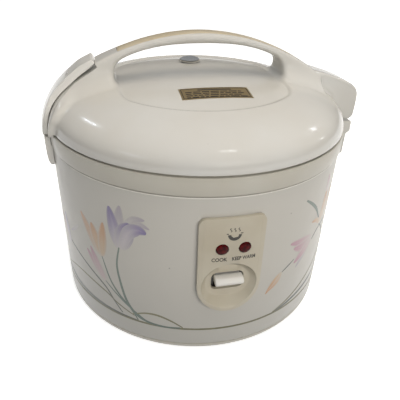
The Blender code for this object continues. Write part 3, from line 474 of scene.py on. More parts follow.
def noise(tree: bpy.types.NodeTree, place: bpy.types.NodeSocket, size: float,
          detail: float = 2.0) -> bpy.types.NodeSocket:
    """Noise with features of a size in millimetres.

    Args:
        tree: The node tree.
        place: Coordinates.
        size: Feature size in millimetres.
        detail: Octaves.

    Returns:
        The value output.
    """
    node = add_node(tree, "ShaderNodeTexNoise", {"Scale": per_mm(size), "Detail": detail}, {"Vector": place})
    return node.outputs["Fac"]


def bump(tree: bpy.types.NodeTree, height: bpy.types.NodeSocket, depth: float) -> bpy.types.NodeSocket:
    """Bump of a depth in millimetres.

    Args:
        tree: The node tree.
        height: Height map.
        depth: Depth in millimetres.

    Returns:
        The normal output.
    """
    node = add_node(tree, "ShaderNodeBump", {"Strength": 1.0, "Distance": depth * MM}, {"Height": height})
    return node.outputs["Normal"]


def spread(tree: bpy.types.NodeTree, feed: bpy.types.NodeSocket, low: float,
           high: float) -> bpy.types.NodeSocket:
    """Map a noise's middle range to a range of values.

    Args:
        tree: The node tree.
        feed: The noise.
        low: Value at its low end.
        high: Value at its high end.

    Returns:
        The mapped value.
    """
    node = add_node(tree, "ShaderNodeMapRange",
                    {"From Min": 0.3, "From Max": 0.7, "To Min": low, "To Max": high}, {"Value": feed})
    return node.outputs["Result"]


@dataclass(frozen=True)
class Finish:
    """A procedural finish under a maker's plain name, laid out in the piece's own coordinates."""

    name: str

    def surface(self, tree: bpy.types.NodeTree, place: bpy.types.NodeSocket) -> tuple[dict, dict]:
        """Values and links of the main shader.

        Args:
            tree: The node tree.
            place: Object coordinates.

        Returns:
            Socket values, and the sockets that feed the others.
        """
        raise NotImplementedError

    def make(self) -> bpy.types.Material:
        """Build the material."""
        made = bpy.data.materials.new(self.name)
        made.use_nodes = True
        tree = made.node_tree
        tree.nodes.clear()
        out = add_node(tree, "ShaderNodeOutputMaterial", {})
        place = add_node(tree, "ShaderNodeTexCoord", {}).outputs["Object"]
        shader = add_node(tree, "ShaderNodeBsdfPrincipled", *self.surface(tree, place))
        tree.links.new(shader.outputs[0], out.inputs[0])
        return made


def specks(tree: bpy.types.NodeTree, place: bpy.types.NodeSocket, base: bpy.types.NodeSocket, size: float,
           edge: tuple[float, float], dark: float, strength: float) -> bpy.types.NodeSocket:
    """Darken a colour in a few small specks.

    Args:
        tree: The node tree.
        place: Coordinates.
        base: The colour.
        size: Spacing of the specks in millimetres.
        edge: Radii of the dark core and of the clear surroundings, as shares of the spacing.
        dark: Brightness of the core.
        strength: Share of the effect.

    Returns:
        The colour output.
    """
    cell = add_node(tree, "ShaderNodeTexVoronoi", {"Scale": per_mm(size)}, {"Vector": place}).outputs["Distance"]
    fade = add_node(tree, "ShaderNodeMapRange",
                    {"From Min": edge[0], "From Max": edge[1], "To Min": dark, "To Max": 1.0}, {"Value": cell})
    return multiply(tree, base, fade.outputs["Result"], strength)


def multiply(tree: bpy.types.NodeTree, base: bpy.types.NodeSocket, factor: bpy.types.NodeSocket,
             strength: float) -> bpy.types.NodeSocket:
    """Multiply a colour by a factor, to a degree.

    Args:
        tree: The node tree.
        base: The colour.
        factor: What it is multiplied by.
        strength: Share of the effect.

    Returns:
        The colour output.
    """
    mix = add_node(tree, "ShaderNodeMix", {"data_type": "RGBA", "blend_type": "MULTIPLY", 0: strength},
                   {6: base, 7: factor})
    return mix.outputs[2]


@dataclass(frozen=True)
class MouldedPlastic(Finish):
    """Injection-moulded ABS or polypropylene: even gloss, faint orange peel and uneven yellowing with age."""

    fresh: str
    aged: str
    gloss: tuple[float, float] = (0.22, 0.34)
    patch: float = 60.0
    peel: float = 2.4
    depth: float = 0.004

    def surface(self, tree: bpy.types.NodeTree, place: bpy.types.NodeSocket) -> tuple[dict, dict]:
        """Aged colour with a few specks, worn gloss and peel."""
        colour = ramp(tree, noise(tree, place, self.patch, 3.0), [(0.3, self.fresh), (0.72, self.aged)])
        wear = noise(tree, place, 14.0, 4.0)
        return ({"IOR": 1.5, "Coat Weight": 0.3, "Coat Roughness": 0.05},
                {"Base Color": specks(tree, place, colour, 17.0, (0.012, 0.03), 0.55, 0.35),
                 "Roughness": spread(tree, wear, *self.gloss),
                 "Normal": bump(tree, noise(tree, place, self.peel), self.depth)})


@dataclass(frozen=True)
class PaintedShell(Finish):
    """Stoved enamel on sheet steel: smooth and satin, with faint rub marks and specks, and painted shade that
    darkens it towards the bottom.
    """

    upper: str
    lower: str

    def surface(self, tree: bpy.types.NodeTree, place: bpy.types.NodeSocket) -> tuple[dict, dict]:
        """Colour that darkens towards the bottom as painted shade and wanders a little, with chips and rub
        marks.
        """
        height = add_node(tree, "ShaderNodeSeparateXYZ", {}, {"Vector": place}).outputs["Z"]
        # The height share drives painted shade: the colour darkens towards the shell's foot.
        share = add_node(tree, "ShaderNodeMapRange", {"From Min": SHELL_LOW.z, "From Max": SHELL_HIGH.z},
                         {"Value": height})
        wander = add_node(tree, "ShaderNodeMath", {"operation": "MULTIPLY_ADD", 1: 0.35},
                          {0: noise(tree, place, 45.0, 3.0), 2: share.outputs[0]})
        colour = ramp(tree, wander.outputs[0], [(0.1, self.lower), (0.75, self.upper)])
        rub = noise(tree, place, 9.0, 5.0)
        return ({"IOR": 1.5, "Coat Weight": 0.3, "Coat Roughness": 0.18},
                {"Base Color": specks(tree, place, colour, 23.0, (0.014, 0.035), 0.35, 0.7),
                 "Roughness": spread(tree, rub, 0.3, 0.42),
                 "Normal": bump(tree, noise(tree, place, 2.2), 0.012)})


class Grain(Enum):
    """Size in millimetres of the marks that a metal's making leaves; spun marks run round the axis."""

    CAST = 0.9
    SPUN = 0.7
    DRAWN = 0.5
    ZINC = 6.0


@dataclass(frozen=True)
class BareMetal(Finish):
    """Aluminium, steel or brass whose marks follow how it was made."""

    light: str
    dark: str
    grain: Grain
    gloss: tuple[float, float] = (0.25, 0.42)
    depth: float = 0.02

    def surface(self, tree: bpy.types.NodeTree, place: bpy.types.NodeSocket) -> tuple[dict, dict]:
        """Marks in colour, gloss and height, drawn out round the axis on spun metal."""
        if self.grain is Grain.SPUN:
            split = add_node(tree, "ShaderNodeSeparateXYZ", {}, {"Vector": place})
            flat = add_node(tree, "ShaderNodeCombineXYZ", {}, {"X": split.outputs["X"], "Y": split.outputs["Y"]})
            radius = add_node(tree, "ShaderNodeVectorMath", {"operation": "LENGTH"}, {0: flat.outputs[0]})
            place = add_node(tree, "ShaderNodeCombineXYZ", {},
                             {"X": radius.outputs["Value"], "Y": split.outputs["Z"]}).outputs[0]
        mark = noise(tree, place, self.grain.value, 4.0)
        return ({"Metallic": 1.0},
                {"Base Color": ramp(tree, mark, [(0.3, self.dark), (0.7, self.light)]),
                 "Roughness": spread(tree, mark, *self.gloss), "Normal": bump(tree, mark, self.depth)})


@dataclass(frozen=True)
class DullPolymer(Finish):
    """Rubber, silicone, phenolic, ferrite, board or printing ink: matt, with fine grain."""

    light: str
    dark: str
    gloss: tuple[float, float] = (0.55, 0.8)
    size: float = 1.0
    depth: float = 0.05

    def surface(self, tree: bpy.types.NodeTree, place: bpy.types.NodeSocket) -> tuple[dict, dict]:
        """One grain in colour, gloss and height."""
        grain = noise(tree, place, self.size, 4.0)
        return ({"IOR": 1.5},
                {"Base Color": ramp(tree, grain, [(0.3, self.dark), (0.7, self.light)]),
                 "Roughness": spread(tree, grain, *self.gloss), "Normal": bump(tree, grain, self.depth)})


@dataclass(frozen=True)
class DyedLens(Finish):
    """Deeply dyed acrylic with a faceted inside."""

    glow: str
    deep: str

    def surface(self, tree: bpy.types.NodeTree, place: bpy.types.NodeSocket) -> tuple[dict, dict]:
        """Facets in colour and height."""
        cells = add_node(tree, "ShaderNodeTexVoronoi", {"Scale": per_mm(3.0)}, {"Vector": place})
        facets = cells.outputs["Distance"]
        return ({"Roughness": 0.25, "IOR": 1.45, "Specular IOR Level": 0.12},
                {"Base Color": ramp(tree, facets, [(0.1, self.glow), (0.8, self.deep)]),
                 "Normal": bump(tree, facets, 0.03)})


@dataclass(frozen=True)
class PrintedInk(Finish):
    """Screen-printed ceramic ink under clear coat: colours come from the piece's own paint attribute."""

    def surface(self, tree: bpy.types.NodeTree, place: bpy.types.NodeSocket) -> tuple[dict, dict]:
        """Stored colours with a slight grain."""
        paint = add_node(tree, "ShaderNodeVertexColor", {"layer_name": "paint"}).outputs["Color"]
        grain = noise(tree, place, 1.2, 3.0)
        tone = add_node(tree, "ShaderNodeMapRange", {"To Min": 0.9, "To Max": 1.06}, {"Value": grain})
        return ({"IOR": 1.5, "Coat Weight": 0.3, "Coat Roughness": 0.18},
                {"Base Color": multiply(tree, paint, tone.outputs["Result"], 1.0),
                 "Roughness": spread(tree, grain, 0.32, 0.42)})


@dataclass(frozen=True)
class BacklitSweep(Finish):
    """White translucent sweep with a faint light behind it and a paper-like grain."""

    tone: str
    glow: float

    def surface(self, tree: bpy.types.NodeTree, place: bpy.types.NodeSocket) -> tuple[dict, dict]:
        """Even white with grain in its gloss."""
        tone = linear(self.tone)
        return ({"Base Color": tone, "Emission Color": tone, "Emission Strength": self.glow},
                {"Roughness": spread(tree, noise(tree, place, 30.0), 0.8, 0.95)})


IVORY = MouldedPlastic("moulded_abs_ivory", "#D0CFCA", "#CBC8C0", (0.16, 0.24))
# Near-white band along the shell's top seam: a painted highlight of the rolled edge.
SEAM_HIGHLIGHT = MouldedPlastic("painted_seam_highlight", "#F0EEE6", "#E8E5DB", (0.2, 0.3))
PALE = MouldedPlastic("moulded_abs_pale_ivory", "#E4E3DF", "#DFDCD4", (0.18, 0.26))
CREAM = MouldedPlastic("moulded_pp_cream", "#BDBAAF", "#B6B1A4", (0.3, 0.42), 40.0)
PANEL = MouldedPlastic("moulded_abs_aged_cream", "#BDB6A4", "#B3AA96", (0.34, 0.46), 30.0)
BEIGE = MouldedPlastic("moulded_abs_beige", "#CBBD9F", "#C1B18E", (0.3, 0.42), 30.0)
LINER = MouldedPlastic("moulded_pp_grey", "#B9B7AF", "#ADA99D", (0.4, 0.55), 30.0)
# The second colour is the dark end of the painted shade towards the shell's foot.
SHELL_PAINT = PaintedShell("stoved_enamel_warm_white", "#BDBAB2", "#B0AEA7")
POT_METAL = BareMetal("spun_aluminium", "#D2D3D4", "#B9BABB", Grain.SPUN)
SHEET_METAL = BareMetal("pressed_aluminium", "#CFD0D1", "#B4B5B6", Grain.DRAWN, (0.3, 0.5))
CAST_METAL = BareMetal("cast_aluminium", "#A9AAAB", "#8B8C8E", Grain.CAST, (0.45, 0.65), 0.08)
ZINC = BareMetal("galvanised_steel", "#B9BCBE", "#9EA1A4", Grain.ZINC, (0.35, 0.55))
SPRING = BareMetal("bright_drawn_steel", "#B5B5B5", "#8F8F8F", Grain.DRAWN, (0.18, 0.35))
BRASS = BareMetal("plated_brass", "#D9B871", "#B8924C", Grain.DRAWN, (0.2, 0.35))
FOIL = BareMetal("printed_foil", "#CDB58A", "#B09A70", Grain.DRAWN, (0.42, 0.6), 0.01)
RUBBER = DullPolymer("moulded_rubber", "#2A2A2A", "#1B1B1B")
SILICONE = DullPolymer("moulded_silicone", "#B8B5AC", "#A29F96", (0.45, 0.6))
PHENOLIC = DullPolymer("moulded_phenolic", "#23211F", "#151413", (0.35, 0.5), 0.8, 0.02)
FERRITE = DullPolymer("sintered_ferrite", "#3A3A3C", "#252527", (0.5, 0.7), 0.4, 0.05)
BOARD = DullPolymer("phenolic_paper_board", "#A9783C", "#8D6230", (0.5, 0.65), 3.0, 0.01)
DARK_INK = DullPolymer("printed_dark_ink", "#2E2B26", "#211E1A", (0.4, 0.5), 0.6, 0.005)
OLIVE_INK = DullPolymer("printed_olive_ink", "#6F6C50", "#5C5A43", (0.35, 0.45), 5.0, 0.005)
LENS = DyedLens("dyed_acrylic_red", "#5A0708", "#2A0204")
FLOWER_INK = PrintedInk("printed_flower_ink")

MADE: dict[str, bpy.types.Material] = {}


def dress(obj: bpy.types.Object, finish: Finish) -> bpy.types.Object:
    """Give an object one finish, made once.

    Args:
        obj: The object.
        finish: The finish.

    Returns:
        The same object.
    """
    if finish.name not in MADE:
        MADE[finish.name] = finish.make()
    obj.data.materials.clear()
    obj.data.materials.append(MADE[finish.name])
    return obj


def fit(obj: bpy.types.Object, finish: Finish, body: str, slot: str, *nodes: str,
        angle: float = 32.0) -> bpy.types.Object:
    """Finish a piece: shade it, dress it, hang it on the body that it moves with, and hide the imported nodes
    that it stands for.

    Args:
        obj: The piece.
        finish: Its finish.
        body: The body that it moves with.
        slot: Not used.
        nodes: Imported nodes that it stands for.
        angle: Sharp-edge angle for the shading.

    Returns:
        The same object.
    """
    smooth(obj, angle)
    dress(obj, finish)
    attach(obj, body)
    if nodes:
        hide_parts(*nodes)
    LOG.info("%s: %d faces on %s", obj.name, len(obj.data.polygons), body)
    return obj


# ---------------------------------------------------------------- lid

@dataclass
class Lid:
    """Domed cover, moulded in one with its handle legs and hinge block."""

    crown_r: float = LID_HIGH.x
    crown_h: float = LID_HIGH.z - RIM
    wall: float = 3.0 * MM
    plateau_r: float = 82.0 * MM
    plateau_x: float = 69.0 * MM
    plateau_drop: float = 1.7 * MM
    plateau_corner: float = 9.0 * MM
    plateau_slope: float = 3.4 * MM
    flare_height: float = 17.0 * MM
    strap_half: float = 12.0 * MM
    strap_round: float = 3.6 * MM
    strap_reach: float = 80.0 * MM
    top_fall: float = 18.9 * MM
    end_fall: float = 1.6 * MM
    end_run: float = 35.0 * MM
    arch_half: float = 64.0 * MM
    arch_thick: float = 7.8 * MM
    under_fall: float = 11.2 * MM
    skirt: float = 3.0 * MM
    leg_x: float = 70.0 * MM
    leg_half: float = 15.5 * MM
    top_z: float = HANDLE_HIGH.z - RIM
    voxel: float = 1.5 * MM
    pivot: Point2 = field(default_factory=lambda: (middle("hinge_pin").x, middle("hinge_pin").z))
    barrel_r: float = 9.9 * MM
    edge_gap: float = 1.4 * MM

    def crown(self, r: float) -> float:
        """Height of the crown above the rim plane at a radius."""
        share = min(abs(r) / self.crown_r, 1.0)
        return self.crown_h * (1 - share * share) ** 0.4

    def handle_top(self, x: float) -> float:
        """Outer curve of the handle above the rim plane."""
        fall = self.top_fall * (x / self.strap_reach) ** 2
        return self.top_z - fall - self.end_fall * step01((abs(x) - self.strap_reach) / self.end_run)

    def handle_under(self, x: float) -> float:
        """Underside of the arch above the rim plane."""
        return self.top_z - self.arch_thick - self.under_fall * (abs(x) / self.arch_half) ** 2.7

    def above_crown(self, place: Vector) -> float:
        """Height of a place above the crown."""
        return place.z - RIM - self.crown(math.hypot(place.x, place.y))

    def profile(self, foot: float, rings: int = 36) -> list[Point2]:
        """Crown profile from the axis outwards, ended at a height above the rim."""
        shares = [math.sin(math.radians(90 * i / rings)) for i in range(rings)]
        points = [(self.crown_r * share, RIM + self.crown(self.crown_r * share)) for share in shares]
        points = [p for p in points if p[1] > RIM + max(foot, 0.0) + 0.4 * MM]
        return points + [(self.crown_r - 0.2 * MM, RIM + foot)]

    def make_dome(self, name: str, rings: int, steps: int) -> bpy.types.Object:
        """Solid crown that reaches below the lid's lower edge, to be trimmed later."""
        return lathe(name, self.profile(-self.skirt, rings) + [(0.0, RIM - self.skirt)], steps, ring=False)

    def flare(self, x: float) -> float:
        """How far the foot of a leg reaches sideways beyond the leg at an X."""
        return (11 + 13 * step01((abs(x) / MM - 98) / 20)) * MM

    def make_legs(self) -> bpy.types.Object:
        """Handle arch with both legs, whose feet sweep out onto the crown."""
        start, end, foot = -90.0 * MM, 106 * MM, RIM + 5 * MM
        top = [(x, RIM + self.handle_top(x)) for x in spaced(start, end, 40)]
        leg = offsets(0.0, RIM, (-92.0, 43.6), (-99.5, 38.6), (-107.0, 32.8), (-114.8, 26.2), (-120.6, 19.6),
                      (-124.4, 12.6), (-126.2, 6.5), (-126.8, 1.0), (-127.0, -3.0), (-112.0, -3.0))
        across = [self.arch_half * math.sin(math.radians(a)) for a in range(-90, 91, 6)]
        under = [(x, RIM + self.handle_under(x)) for x in across]
        left = [(-self.leg_x, foot)] + offsets(-self.leg_x, RIM + self.handle_under(self.arch_half),
                                               (0.0, -9.0), (0.7, -5.5), (2.8, -2.6))
        right = [(-x, z) for x, z in left]
        points = leg[::-1] + top + [(end, foot)] + right + under[::-1] + left[::-1]
        arch = slab("arch", points, -self.strap_half, self.strap_half, Axis.Y, self.strap_round, 5)
        modify(arch, "REMESH", mode="VOXEL", voxel_size=2.0 * MM, adaptivity=0.0)
        for vertex in arch.data.vertices:
            x = vertex.co.x
            if abs(x) < 52 * MM:
                continue
            half = self.strap_half + (self.leg_half - self.strap_half) * step01((abs(x) - 58 * MM) / (38 * MM))
            height = min(max(self.above_crown(vertex.co) / self.flare_height, 0.0), 1.0)
            half += self.flare(x) * (1 - height) ** 2.6
            vertex.co.y *= half / self.strap_half
        return arch

    def make_block(self) -> bpy.types.Object:
        """Hinge block that continues the right leg and rounds over the pin."""
        cx, cz = self.pivot
        start = 100 * MM
        outer = [(start, RIM + self.handle_top(start))]
        outer += offsets(cx, cz, (-24.0, 32.2), (-15.0, 29.4), (-7.0, 26.6), (0.6, 23.2), (5.4, 20.2),
                         (8.3, 16.2), (9.6, 11.0), (9.8, 4.0), (9.4, -3.2), (8.6, -7.2))
        heel = offsets(cx, cz, (7.9, -8.5), (6.6, -9.6), (4.6, -10.2), (-1.0, -10.2))
        barrel = arc((cx, cz), self.barrel_r, -102, -172, 10)
        points = [(start, RIM + 6 * MM)] + curve_through(outer, 3) + heel + barrel
        half = (BLOCK_HIGH.y - BLOCK_LOW.y) / 2
        return slab("block", points, -half, half, Axis.Y, 2.8 * MM, 5)

    def weigh_crown(self, obj: bpy.types.Object) -> None:
        """Mark the crown's own surface, away from the legs, so that it can be drawn back to the true curve."""
        group = obj.vertex_groups.new(name="crown")
        for vertex in obj.data.vertices:
            x, y, z = vertex.co
            away = max(abs(y) - self.leg_half - self.flare(x), self.leg_x - 4 * MM - abs(x))
            near = abs(self.above_crown(vertex.co)) < 3 * MM or z < RIM + 3 * MM
            if near and math.hypot(x, y) < self.crown_r + 2 * MM:
                group.add([vertex.index], step01((away - 2 * MM) / (8 * MM)), "REPLACE")

    def plateau_depth(self, x: float, y: float) -> float:
        """Depth of the soft-edged recess of the crown's middle at a place."""
        rounding = self.plateau_corner
        beyond_arc = math.hypot(x, y) - self.plateau_r + rounding
        beyond_side = abs(x) - self.plateau_x + rounding
        edge = math.hypot(max(beyond_arc, 0.0), max(beyond_side, 0.0)) + min(max(beyond_arc, beyond_side), 0.0)
        return self.plateau_drop * step01((rounding - edge) / self.plateau_slope)

    def press_plateau(self, obj: bpy.types.Object) -> None:
        """Lower the crown's skin inside the recess."""
        for vertex in obj.data.vertices:
            x, y, z = vertex.co
            if self.above_crown(vertex.co) < 3.5 * MM and z > RIM + 20 * MM:
                vertex.co.z -= self.plateau_depth(x, y)

    def make_cavity(self) -> bpy.types.Object:
        """The room under the crown."""
        shrink = (self.crown_r - self.wall) / self.crown_r
        inner = [(r * shrink, z - self.wall) for r, z in self.profile(6.0 * MM)]
        floor = RIM - self.skirt
        return lathe("cavity", inner + [(inner[-1][0], floor), (0.0, floor)], 120, ring=False)

    def build(self) -> bpy.types.Object:
        """Join crown, legs and block, round the joints, then cut the recess, the cavity and the openings."""
        cover = self.make_dome("lid_moulding", 36, 180)
        combine(cover, "UNION", self.make_legs(), self.make_block())
        modify(cover, "REMESH", mode="VOXEL", voxel_size=self.voxel, adaptivity=0.0)
        modify(cover, "SMOOTH", factor=0.5, iterations=9)
        self.weigh_crown(cover)
        true_crown = self.make_dome("true_crown", 110, 360)
        modify(cover, "SHRINKWRAP", target=true_crown, wrap_method="NEAREST_SURFACEPOINT", vertex_group="crown")
        bpy.data.objects.remove(true_crown, do_unlink=True)
        cover.vertex_groups.clear()
        self.press_plateau(cover)
        self.cut_openings(cover)
        combine(cover, "UNION", self.make_tongue())
        return fit(cover, IVORY, "lid", "ivory_plastic", "lid_cover", "handle", "hinge_block", angle=38)

    def cut_openings(self, cover: bpy.types.Object) -> None:
        """Trim the lower edge; cut the cavity, the hinge's slot, the lever's room, the bores and the groove."""
        cx, cz = self.pivot
        slot = (-8.4 * MM, 5.4 * MM)
        sweep = slab("sweep", [(cx, cz)] + arc((cx, cz), self.barrel_r + 8 * MM, 34, -142, 24), *slot)
        well = slab("well", arc((cx, cz), 7.6 * MM, 0, 350, 35), *slot)
        reach, floor, gap = RING_R + 0.3 * MM, RIM - 12 * MM, RIM + self.edge_gap
        below = lathe("below", [(0, floor), (reach, floor), (reach, gap), (0, gap)], 180, ring=False)
        vent = middle("steam_vent_cap")
        combine(cover, "DIFFERENCE", self.make_cavity(), well, sweep, below, *ReleaseLever().clearance(),
                bar("vent_hole", 7.2 * MM, (vent.x, vent.y, RIM + 10 * MM), (vent.x, vent.y, RIM + 60 * MM)),
                bar("pin_bore", 2.3 * MM, (cx, PIN_LOW.y - 0.3 * MM, cz), (cx, 20 * MM, cz)),
                self.strip("groove", 0.25 * MM))

    def make_tongue(self) -> bpy.types.Object:
        """Small tongue inside the left leg that carries the lever's pin."""
        px, pz = ReleaseLever().pin
        side = offsets(px, pz, (-1.5, -10.0), (3.0, -10.0)) + arc((px, pz), 3 * MM, 0, 180, 12)
        tongue = slab("tongue", side + offsets(px, pz, (-3.0, -5.0)), -5 * MM, 5 * MM)
        bore = bar("tongue_bore", 1.8 * MM, (px, -9 * MM, pz), (px, 9 * MM, pz), 24)
        return combine(tongue, "DIFFERENCE", bore)

    def strip(self, name: str, grow: float) -> bpy.types.Object:
        """Inlaid strip along the arch, or, grown, the groove that takes it."""
        xs = spaced(STRIP_LOW.x - grow, STRIP_HIGH.x + grow, 40)
        raised = 5 * MM if grow else 0.0
        low = [(x, RIM + self.handle_top(x) - 1.2 * MM - grow) for x in xs]
        high = [(x, RIM + self.handle_top(x) + raised + 0.05 * MM) for x in xs]
        half = (STRIP_HIGH.y - STRIP_LOW.y) / 2 + grow
        return slab(name, low + high[::-1], -half, half, Axis.Y, 0.0 if grow else 0.5 * MM, 3)

    def build_inlay(self) -> None:
        """Beige inlay along the handle's top."""
        fit(self.strip("handle_inlay", 0.0), BEIGE, "lid", "beige_plastic", "handle_cover")


@dataclass
class ReleaseLever:
    """Thumb lever that hugs the left leg and widens towards its lower end."""

    half: float = 12.6 * MM
    spread: float = 8.5 * MM
    rounding: float = 2.4 * MM
    travel: float = 6.0
    gap: float = 0.45 * MM
    bend_limit: float = 24 * MM
    outer: tuple[Point2, ...] = (
        (-86.2, 49.6), (-96.0, 44.8), (-103.0, 39.5), (-110.0, 33.7), (-116.0, 27.8), (-120.5, 22.2),
        (-124.2, 16.4), (-127.2, 9.8), (-129.4, 2.5), (-130.2, -5.6))
    inner: tuple[Point2, ...] = (
        (-125.7, -5.6), (-125.4, 1.5), (-124.6, 6.0), (-122.6, 11.5), (-118.9, 17.5), (-112.8, 24.0),
        (-104.8, 30.4), (-97.0, 37.0), (-88.0, 43.4), (-83.8, 46.9))

    @property
    def pin(self) -> Point2:
        """X and Z of the lever's pin."""
        centre = middle("lever_pin")
        return centre.x, centre.z

    def bend(self, obj: bpy.types.Object) -> bpy.types.Object:
        """Slice a slab across its width and bend it round the lid's axis."""
        def slice_up() -> None:
            """Add cuts across the width."""
            for y in range(-18, 19, 4):
                bpy.ops.mesh.select_all(action="SELECT")
                bpy.ops.mesh.bisect(plane_co=(0, y * MM, 0), plane_no=(0, 1, 0))

        edit(obj, slice_up)
        for vertex in obj.data.vertices:
            y = min(abs(vertex.co.y), self.bend_limit)
            low = step01((RIM + 44 * MM - vertex.co.z) / (30 * MM))
            vertex.co.x += (RING_R - math.sqrt(RING_R ** 2 - y ** 2)) * low
        return obj

    def room(self) -> bpy.types.Object:
        """Everything outside the lever's inner side, with a clearance."""
        shift = self.gap / MM * 0.75
        far = offsets(0.0, RIM, (-97.0, 62.0), (-150.0, 62.0), (-150.0, -5.6))
        near = offsets(0.0, RIM, *((x + shift, z - shift) for x, z in curve_through(self.inner, 4)))
        half = self.half + self.spread + 20 * MM
        return self.bend(slab("room", far + near, -half, half))

    def clearance(self) -> list[bpy.types.Object]:
        """Room for the lever at both ends of its travel, cut out of the leg below it."""
        px, pz = self.pin
        rooms = []
        for turn in (0.0, self.travel):
            room = self.room()
            place = Matrix.Translation((px, 0, pz))
            room.data.transform(place @ Matrix.Rotation(math.radians(turn), 4, "Y") @ place.inverted())
            rooms.append(room)
        return rooms

    def widen(self, obj: bpy.types.Object) -> None:
        """Spread the lever's sides downwards, most where they meet the crown."""
        px, pz = self.pin
        for vertex in obj.data.vertices:
            low = step01((pz - 4 * MM - vertex.co.z) / (32 * MM))
            vertex.co.y *= 1 + self.spread / self.half * low

    def build(self) -> bpy.types.Object:
        """Extrude the lever's section, round it, spread it, and cut its pocket and bore."""
        side = offsets(0.0, RIM, *curve_through(self.outer, 4), *curve_through(self.inner, 4))
        lever = slab("lever_moulding", side, -self.half, self.half, Axis.Y, self.rounding, 5)
        self.widen(lever)
        self.bend(lever)
        px, pz = self.pin
        room = offsets(px, pz, (-6.0, -12.0), (5.4, -12.0)) + arc((px, pz), 3.4 * MM, 0, 180, 12)
        pocket = slab("pocket", room + offsets(px, pz, (-6.0, -4.0)), -5.3 * MM, 5.3 * MM)
        hook = box("hook", (-RING_R - 1.6 * MM, -5 * MM, RIM - 5.4 * MM),
                   (-RING_R + 3.8 * MM, 5 * MM, RIM - 2.8 * MM))
        bore = bar("bore", 1.8 * MM, (px, LEVER_PIN_LOW.y - 0.3 * MM, pz), (px, LEVER_PIN_HIGH.y, pz), 24)
        combine(lever, "UNION", hook)
        combine(lever, "DIFFERENCE", pocket, bore)
        return fit(lever, PALE, "release_lever", "ivory_plastic", "release_lever", angle=38)


@dataclass
class LidInside:
    """Liner, inner lid, seal and knob."""

    def build(self) -> None:
        """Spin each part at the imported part's own places."""
        lid = Lid()
        seal_low, seal_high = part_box("lid_gasket")
        inner_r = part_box("inner_lid")[1].x
        seal_r = seal_high.x
        flange = lid.crown_r - lid.wall - 2 * MM
        hole = 3.3 * MM
        top = RIM + 8.5 * MM
        liner = lathe("lid_lining", offsets(flange, RIM, (0.0, 1.0), (0.0, 3.0))
                      + offsets(seal_r, RIM, (0.9, 3.0)) + offsets(inner_r, top, (1.9, 2.5))
                      + offsets(hole, top, (0.0, 4.0), (0.0, 1.5))
                      + offsets(inner_r, top, (0.2, 0.0)) + offsets(inner_r, RIM, (3.6, 1.0)), 128)
        vent = middle("steam_tube")
        combine(liner, "DIFFERENCE", bar("tube_hole", 6.9 * MM, (0, vent.y, RIM), (0, vent.y, RIM + 20 * MM)))
        fit(liner, LINER, "lid", "beige_plastic", "lid_liner")
        plate = lathe("inner_lid_plate", offsets(0.0, RIM, (3.3, 5.2), (30.0, 5.0), (34.0, 4.5))
                      + offsets(inner_r, RIM, (-4.6, 4.2), (0.0, 0.4), (0.0, -0.8), (-1.0, -0.8), (-5.2, 3.2))
                      + offsets(0.0, RIM, (34.0, 3.5), (30.0, 4.0), (3.3, 4.2)), 128)
        for x, y in around(6, 55 * MM, 30):
            combine(plate, "DIFFERENCE", bar("steam_hole", 2.5 * MM, (x, y, RIM), (x, y, RIM + 9 * MM), 24))
        fit(plate, SHEET_METAL, "lid", "aluminium", "inner_lid")
        low, high = seal_low.z, seal_high.z
        seal = lathe("seal_lip", offsets(inner_r, low, (0.3, 0.0), (1.6, 0.1))
                     + offsets(seal_r, low, (-0.8, 0.5), (0.0, 0.9))
                     + [(seal_r, high), (inner_r + 0.3 * MM, high)], 128)
        fit(seal, SILICONE, "lid", "silicone", "lid_gasket")
        knob_low, knob_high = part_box("inner_lid_knob")
        knob_r = knob_high.x
        side = arc((knob_r - 2 * MM, knob_low.z + 2 * MM), 2 * MM, -90, 0, 5)
        step = RIM + 3.8 * MM
        plug = [(knob_r, step), (3 * MM, step), (3 * MM, knob_high.z), (0, knob_high.z)]
        knob = lathe("seal_knob", [(0, knob_low.z)] + side + plug, 48, ring=False)
        fit(knob, SILICONE, "lid", "silicone", "inner_lid_knob")


